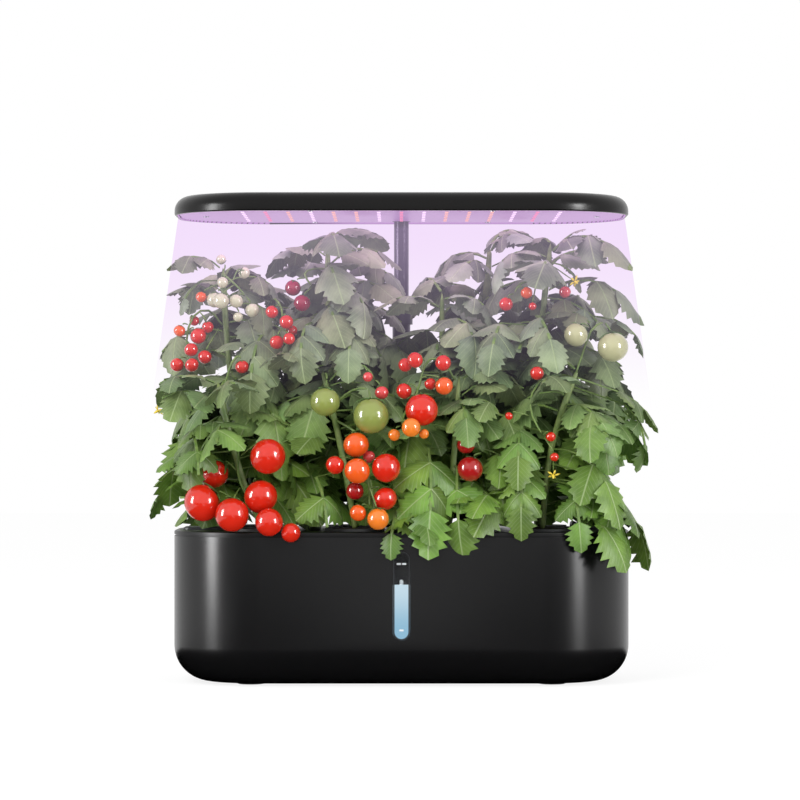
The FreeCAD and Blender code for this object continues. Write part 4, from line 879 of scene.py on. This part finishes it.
# A petal's outline as shares of its length and of its half angle, and the cone of anthers
# as rings of radius and height
petals = 5
petal_outline = ((0.10, 0.0), (0.34, 0.5), (0.62, 0.42), (1.0, 0.0), (0.62, -0.42), (0.34, -0.5))
petal_spread = 0.62
cone_rings = ((0.09, 0.0), (0.1, 0.16), (0.05, 0.34), (0.02, 0.40))
flower_size = 1.9
flower_kinds = 3


def flower_model(name, draw):
    """An open flower one wide, its face at +Z: five pointed petals round a cone of anthers."""
    points = []
    faces = []
    for k in range(petals):
        angle = 2 * math.pi * k / petals
        sag = draw.uniform(0.0, 0.22)
        start = len(points)
        for reach, turn in petal_outline:
            for level in (0.03, -0.03):
                swing = angle + turn * petal_spread
                points.append((0.5 * reach * math.cos(swing), 0.5 * reach * math.sin(swing),
                               level - sag * reach * reach))
        count = len(petal_outline)
        faces.append(tuple(start + 2 * i for i in range(count)))
        faces.append(tuple(start + 2 * i + 1 for i in reversed(range(count))))
        for i in range(count):
            j = (i + 1) % count
            faces.append((start + 2 * i, start + 2 * i + 1, start + 2 * j + 1, start + 2 * j))
    sides = 8
    start = len(points)
    for radius, level in cone_rings:
        for k in range(sides):
            angle = 2 * math.pi * k / sides
            points.append((radius * math.cos(angle), radius * math.sin(angle), level))
    for n in range(len(cone_rings) - 1):
        for k in range(sides):
            j = (k + 1) % sides
            low = start + n * sides
            faces.append((low + k, low + j, low + sides + j, low + sides + k))
    faces.append(tuple(start + k for k in reversed(range(sides))))
    faces.append(tuple(start + (len(cone_rings) - 1) * sides + k for k in range(sides)))
    return model_object(name, points, faces)


def flowers():
    """Open flowers in the place of the solid ones, all with their faces to the front."""
    draw = random.Random(seed + 2)
    work = merged("flowers")
    spots = []
    for group in islands(work):
        places = [v.co for v in group]
        centre = middle_of(places)
        reach = max((place - centre).length for place in places)
        face = max({f for v in group for f in v.link_faces}, key=lambda f: f.calc_area())
        way = face.normal.copy()
        if way.y > 0:
            way = -way
        turn = way.to_track_quat("Z", "Y").to_matrix()
        spots.append((centre, turn,
                      Vector((1, 1, 1)) * reach * flower_size, draw.randrange(flower_kinds)))
    work.free()
    models = [flower_model("bloom_%d" % i, draw) for i in range(flower_kinds)]
    made = scattered("blooms", spots, models, petal_skin)
    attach(made, "deck")
    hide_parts("flowers")


# Finishes on the solids

def dress():
    """Each solid that keeps its shape gets its finish, the smooth ones on a smooth copy."""
    for cad_name, material in (
            ("tank_shell", body_gloss), ("grow_deck", deck_satin), ("hood_cover", hood_gloss),
            ("window_bezel", rim_satin), ("window_lens", lens_clear), ("pole_outer_tube", pole_satin),
            ("pole_middle_tube", pole_satin), ("pole_inner_tube", pole_satin),
            ("lower_collar", trim_satin), ("upper_collar", trim_satin), ("pole_socket", deck_satin),
            ("fill_flap", deck_satin), ("control_panel", trim_satin), ("inlet_housing", deck_satin),
            ("light_button", key_satin), ("pump_button", key_satin), ("power_jack", switch_black),
            ("pump_body", inner_matt), ("riser_pipe", pipe_pale)):
        smooth_skin(cad_name, material)
    plain = {
        "rubber_feet": rubber, "level_marks": mark_pale_glow, "gauge_channel": inner_matt,
        "gauge_water": water_painted_glow, "level_float": float_pale_glow, "suction_cups": rubber,
        "pump_cover": inner_matt, "filter_sponge": foam, "impeller_shaft": ceramic,
        "impeller": magnet, "sponges": peat, "flap_pin": steel, "pilot_lamps": pilot_glow,
        "control_board": board_green, "tact_switches": switch_black, "socket_screws": steel,
        "pole_head": inner_matt, "lamp_board": board_lit, "lamps_white": lamp_white,
        "lamps_red": lamp_red, "lamps_warm": lamp_warm, "hood_screws": steel,
    }
    plain.update({name: basket_matt for name in nodes if name.startswith("net_basket")})
    for cad_name, material in plain.items():
        paint(nodes[cad_name], material)


def light_hood_rim():
    """The inner wall of the hood's rim, below the lamp board, shows the lamp light."""
    skin = bpy.data.objects["hood_cover_skin"]
    skin.data.materials.append(rim_lit)
    lamp_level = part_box("lamp_board")[0].z + rim_margin
    for face in skin.data.polygons:
        away = face.center.x * face.normal.x + face.center.y * face.normal.y
        if face.center.z < lamp_level and away < -rim_margin:
            face.material_index = 1


# The studio round it

floor_reach = 6.0
floor_glow = 1.13
floor_glow_share = 0.76
world_strength = 0.6
card_level_z = 0.001

# The lamp light: what it takes from light that passes, what it adds, and its slope
haze_pass = (0.79, 0.717, 0.804, 1)
haze_glow = (0.85, 0.72, 1.0, 1)
haze_strength = 0.18
haze_gap = 0.0006
haze_top_grow = -0.003
haze_foot_grow = 0.022
haze_corner_points = 12

# Lamps: name, place, what it points at, width, height, watts, whether gloss mirrors it and
# whether it lights matt surfaces
middle_of_plants = (0, 0, 0.2)
soft_lamps = (
    ("key", (-0.9, -1.9, 1.5), middle_of_plants, 1.2, 1.2, 30.0, False, True),
    ("fill", (1.6, -1.5, 0.8), middle_of_plants, 1.2, 1.2, 13.0, False, True),
    ("left strip", (-1.85, -0.77, 0.3), (0, 0, 0.1), 0.42, 1.6, 62.0, True, False),
    ("right strip", (1.57, -1.27, 0.3), (0, 0, 0.1), 0.42, 1.6, 42.0, True, False),
    ("sparkle", (1.5, -1.2, 0.75), middle_of_plants, 0.3, 0.3, 9.0, True, False),
)
purple = (0.86, 0.66, 1.0)

# Dark cards on the floor: name, first and last X, first and last Y
cards = (
    ("dark_card_left", -0.10, -2.2, -0.6, -4.0),
    ("dark_card_right", 0.10, 2.2, -0.6, -4.0),
    ("dark_card_near", -0.4, 0.4, -0.6, 0.13),
)

# The camera: where it stands, what it looks at and its lens in millimetres
camera_eye = (-0.0012, -3.0, 0.2106)
camera_aim = (-0.0012, 0.0, 0.2359)
lens_mm = 159.8


def stage_mesh(name, points, faces, material):
    mesh = bpy.data.meshes.new(name)
    mesh.from_pydata(points, [], faces)
    mesh.update()
    made = add_object(name, mesh)
    made.data.materials.append(material)
    return made


def seen_directly(tree):
    """1 for rays from the camera, off gloss and through glass, else 0."""
    path = node(tree, "ShaderNodeLightPath")
    first = node(tree, "ShaderNodeMath", operation="MAXIMUM")
    second = node(tree, "ShaderNodeMath", operation="MAXIMUM")
    tree.links.new(path.outputs["Is Camera Ray"], first.inputs[0])
    tree.links.new(path.outputs["Is Glossy Ray"], first.inputs[1])
    tree.links.new(first.outputs[0], second.inputs[0])
    tree.links.new(path.outputs["Is Transmission Ray"], second.inputs[1])
    return second.outputs[0]


def white_world():
    """A white background that lights the object only at a plain level."""
    world = bpy.data.worlds.new("studio")
    bpy.context.scene.world = world
    world.use_nodes = True
    tree = world.node_tree
    plain = tree.nodes["Background"]
    plain.inputs["Color"].default_value = (1, 1, 1, 1)
    plain.inputs["Strength"].default_value = world_strength
    shown = node(tree, "ShaderNodeBackground")
    shown.inputs["Color"].default_value = (1, 1, 1, 1)
    shown.inputs["Strength"].default_value = 1.0
    mix = node(tree, "ShaderNodeMixShader")
    tree.links.new(seen_directly(tree), mix.inputs["Fac"])
    tree.links.new(plain.outputs[0], mix.inputs[1])
    tree.links.new(shown.outputs[0], mix.inputs[2])
    tree.links.new(mix.outputs[0], tree.nodes["World Output"].inputs["Surface"])


def pale_floor():
    """A floor that reads as white and still keeps the object's shadow."""
    material = finish("pale floor", (0.9, 0.9, 0.9, 1), 0.9, Specular_IOR_Level=0.0)
    tree = material.node_tree
    glow = node(tree, "ShaderNodeEmission")
    glow.inputs["Color"].default_value = (1, 1, 1, 1)
    glow.inputs["Strength"].default_value = floor_glow
    share = node(tree, "ShaderNodeMath", operation="MULTIPLY")
    share.inputs[1].default_value = floor_glow_share
    tree.links.new(seen_directly(tree), share.inputs[0])
    mix = node(tree, "ShaderNodeMixShader")
    tree.links.new(share.outputs[0], mix.inputs["Fac"])
    tree.links.new(shader_of(material).outputs[0], mix.inputs[1])
    tree.links.new(glow.outputs[0], mix.inputs[2])
    tree.links.new(mix.outputs[0], tree.nodes["Material Output"].inputs["Surface"])
    corners = [(x * floor_reach, y * floor_reach, 0) for x, y in ((-1, -1), (1, -1), (1, 1), (-1, 1))]
    stage_mesh("floor", corners, [(0, 1, 2, 3)], material)


def softbox(name, place, target, width, height, power, seen, lit, colour=(1, 1, 1)):
    """A soft lamp. seen is whether gloss mirrors it, and lit whether it lights matt surfaces."""
    light = bpy.data.lights.new(name, "AREA")
    light.shape = "RECTANGLE"
    light.size = width
    light.size_y = height
    light.energy = power
    light.color = colour
    made = bpy.data.objects.new(name, light)
    bpy.context.scene.collection.objects.link(made)
    made.location = place
    made.rotation_euler = (Vector(target) - Vector(place)).to_track_quat("-Z", "Y").to_euler()
    made.visible_camera = False
    made.visible_glossy = seen
    made.visible_diffuse = lit
    return made


def dark_card(name, x_start, x_end, y_start, y_end):
    """A black card that only gloss mirrors, so that the shell has dark stretches as well."""
    material = finish(name, (0, 0, 0, 1), 1.0, Specular_IOR_Level=0.0)
    corners = [(x_start, y_start, card_level_z), (x_end, y_start, card_level_z),
               (x_end, y_end, card_level_z), (x_start, y_end, card_level_z)]
    made = stage_mesh(name, corners, [(0, 1, 2, 3)], material)
    made.visible_camera = False
    made.visible_diffuse = False
    made.visible_transmission = False
    made.visible_shadow = False


def haze_finish():
    """See-through, tinting what is behind it and glowing, more so towards the hood."""
    material = bpy.data.materials.new("lamp light")
    material.use_nodes = True
    tree = material.node_tree
    tree.nodes.remove(tree.nodes["Principled BSDF"])
    up = grouped(material, rise, Low=light_low_z + 0.002, High=hood_bottom_z)
    clear = node(tree, "ShaderNodeBsdfTransparent")
    shade = node(tree, "ShaderNodeMix", data_type="RGBA")
    shade.inputs["A"].default_value = (1, 1, 1, 1)
    shade.inputs["B"].default_value = haze_pass
    link(material, up.outputs["Mask"], shade.inputs["Factor"])
    link(material, shade.outputs["Result"], clear.inputs["Color"])
    glow = node(tree, "ShaderNodeEmission")
    glow.inputs["Color"].default_value = haze_glow
    strength = node(tree, "ShaderNodeMath", operation="MULTIPLY")
    strength.inputs[1].default_value = haze_strength
    link(material, up.outputs["Mask"], strength.inputs[0])
    link(material, strength.outputs[0], glow.inputs["Strength"])
    both = node(tree, "ShaderNodeAddShader")
    link(material, clear.outputs[0], both.inputs[0])
    link(material, glow.outputs[0], both.inputs[1])
    link(material, both.outputs[0], tree.nodes["Material Output"].inputs["Surface"])
    return material


def lamp_haze():
    """The veil of lamp light under the hood: a skirt that widens downwards and rides on the hood."""
    count = 4 * haze_corner_points
    points = []
    for grow, z in ((haze_top_grow, hood_bottom_z - haze_gap), (haze_foot_grow, light_low_z)):
        radius = corner_radius + grow
        for n in range(count):
            quarter, step = divmod(n, haze_corner_points)
            angle = math.pi / 2 * (quarter + step / (haze_corner_points - 1))
            sx = 1 if quarter in (0, 3) else -1
            sy = 1 if quarter in (0, 1) else -1
            points.append((sx * (body_half_x - corner_radius) + radius * math.cos(angle),
                           sy * (body_half_y - corner_radius) + radius * math.sin(angle), z))
    faces = []
    for i in range(count):
        j = (i + 1) % count
        faces.append((i, j, count + j, count + i))
    made = stage_mesh("lamp_light", points, faces, haze_finish())
    made.visible_shadow = False
    made.visible_diffuse = False
    made.visible_glossy = False
    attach(made, "hood")


def camera():
    data = bpy.data.cameras.new("camera")
    data.sensor_width = 36.0
    data.lens = lens_mm
    made = bpy.data.objects.new("camera", data)
    bpy.context.scene.collection.objects.link(made)
    made.location = camera_eye
    made.rotation_euler = (Vector(camera_aim) - Vector(camera_eye)).to_track_quat("-Z", "Y").to_euler()
    bpy.context.scene.camera = made


# The garden is dressed, then set in the studio

dress()
light_hood_rim()
flowers()
rounded_bars("plant_stems", stem_skin)
rounded_bars("fruit_trusses", sprig_skin)
foliage()
fruit()
white_world()
pale_floor()
lamp_haze()
for lamp in soft_lamps:
    softbox(*lamp)
hood_lamps = softbox("lamps", (0, 0, 0.386), (0, 0, 0), 0.34, 0.16, 0.36, False, True, purple)
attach(hood_lamps, "hood")
for card in cards:
    dark_card(*card)
camera()
bpy.context.scene.view_settings.view_transform = "Standard"
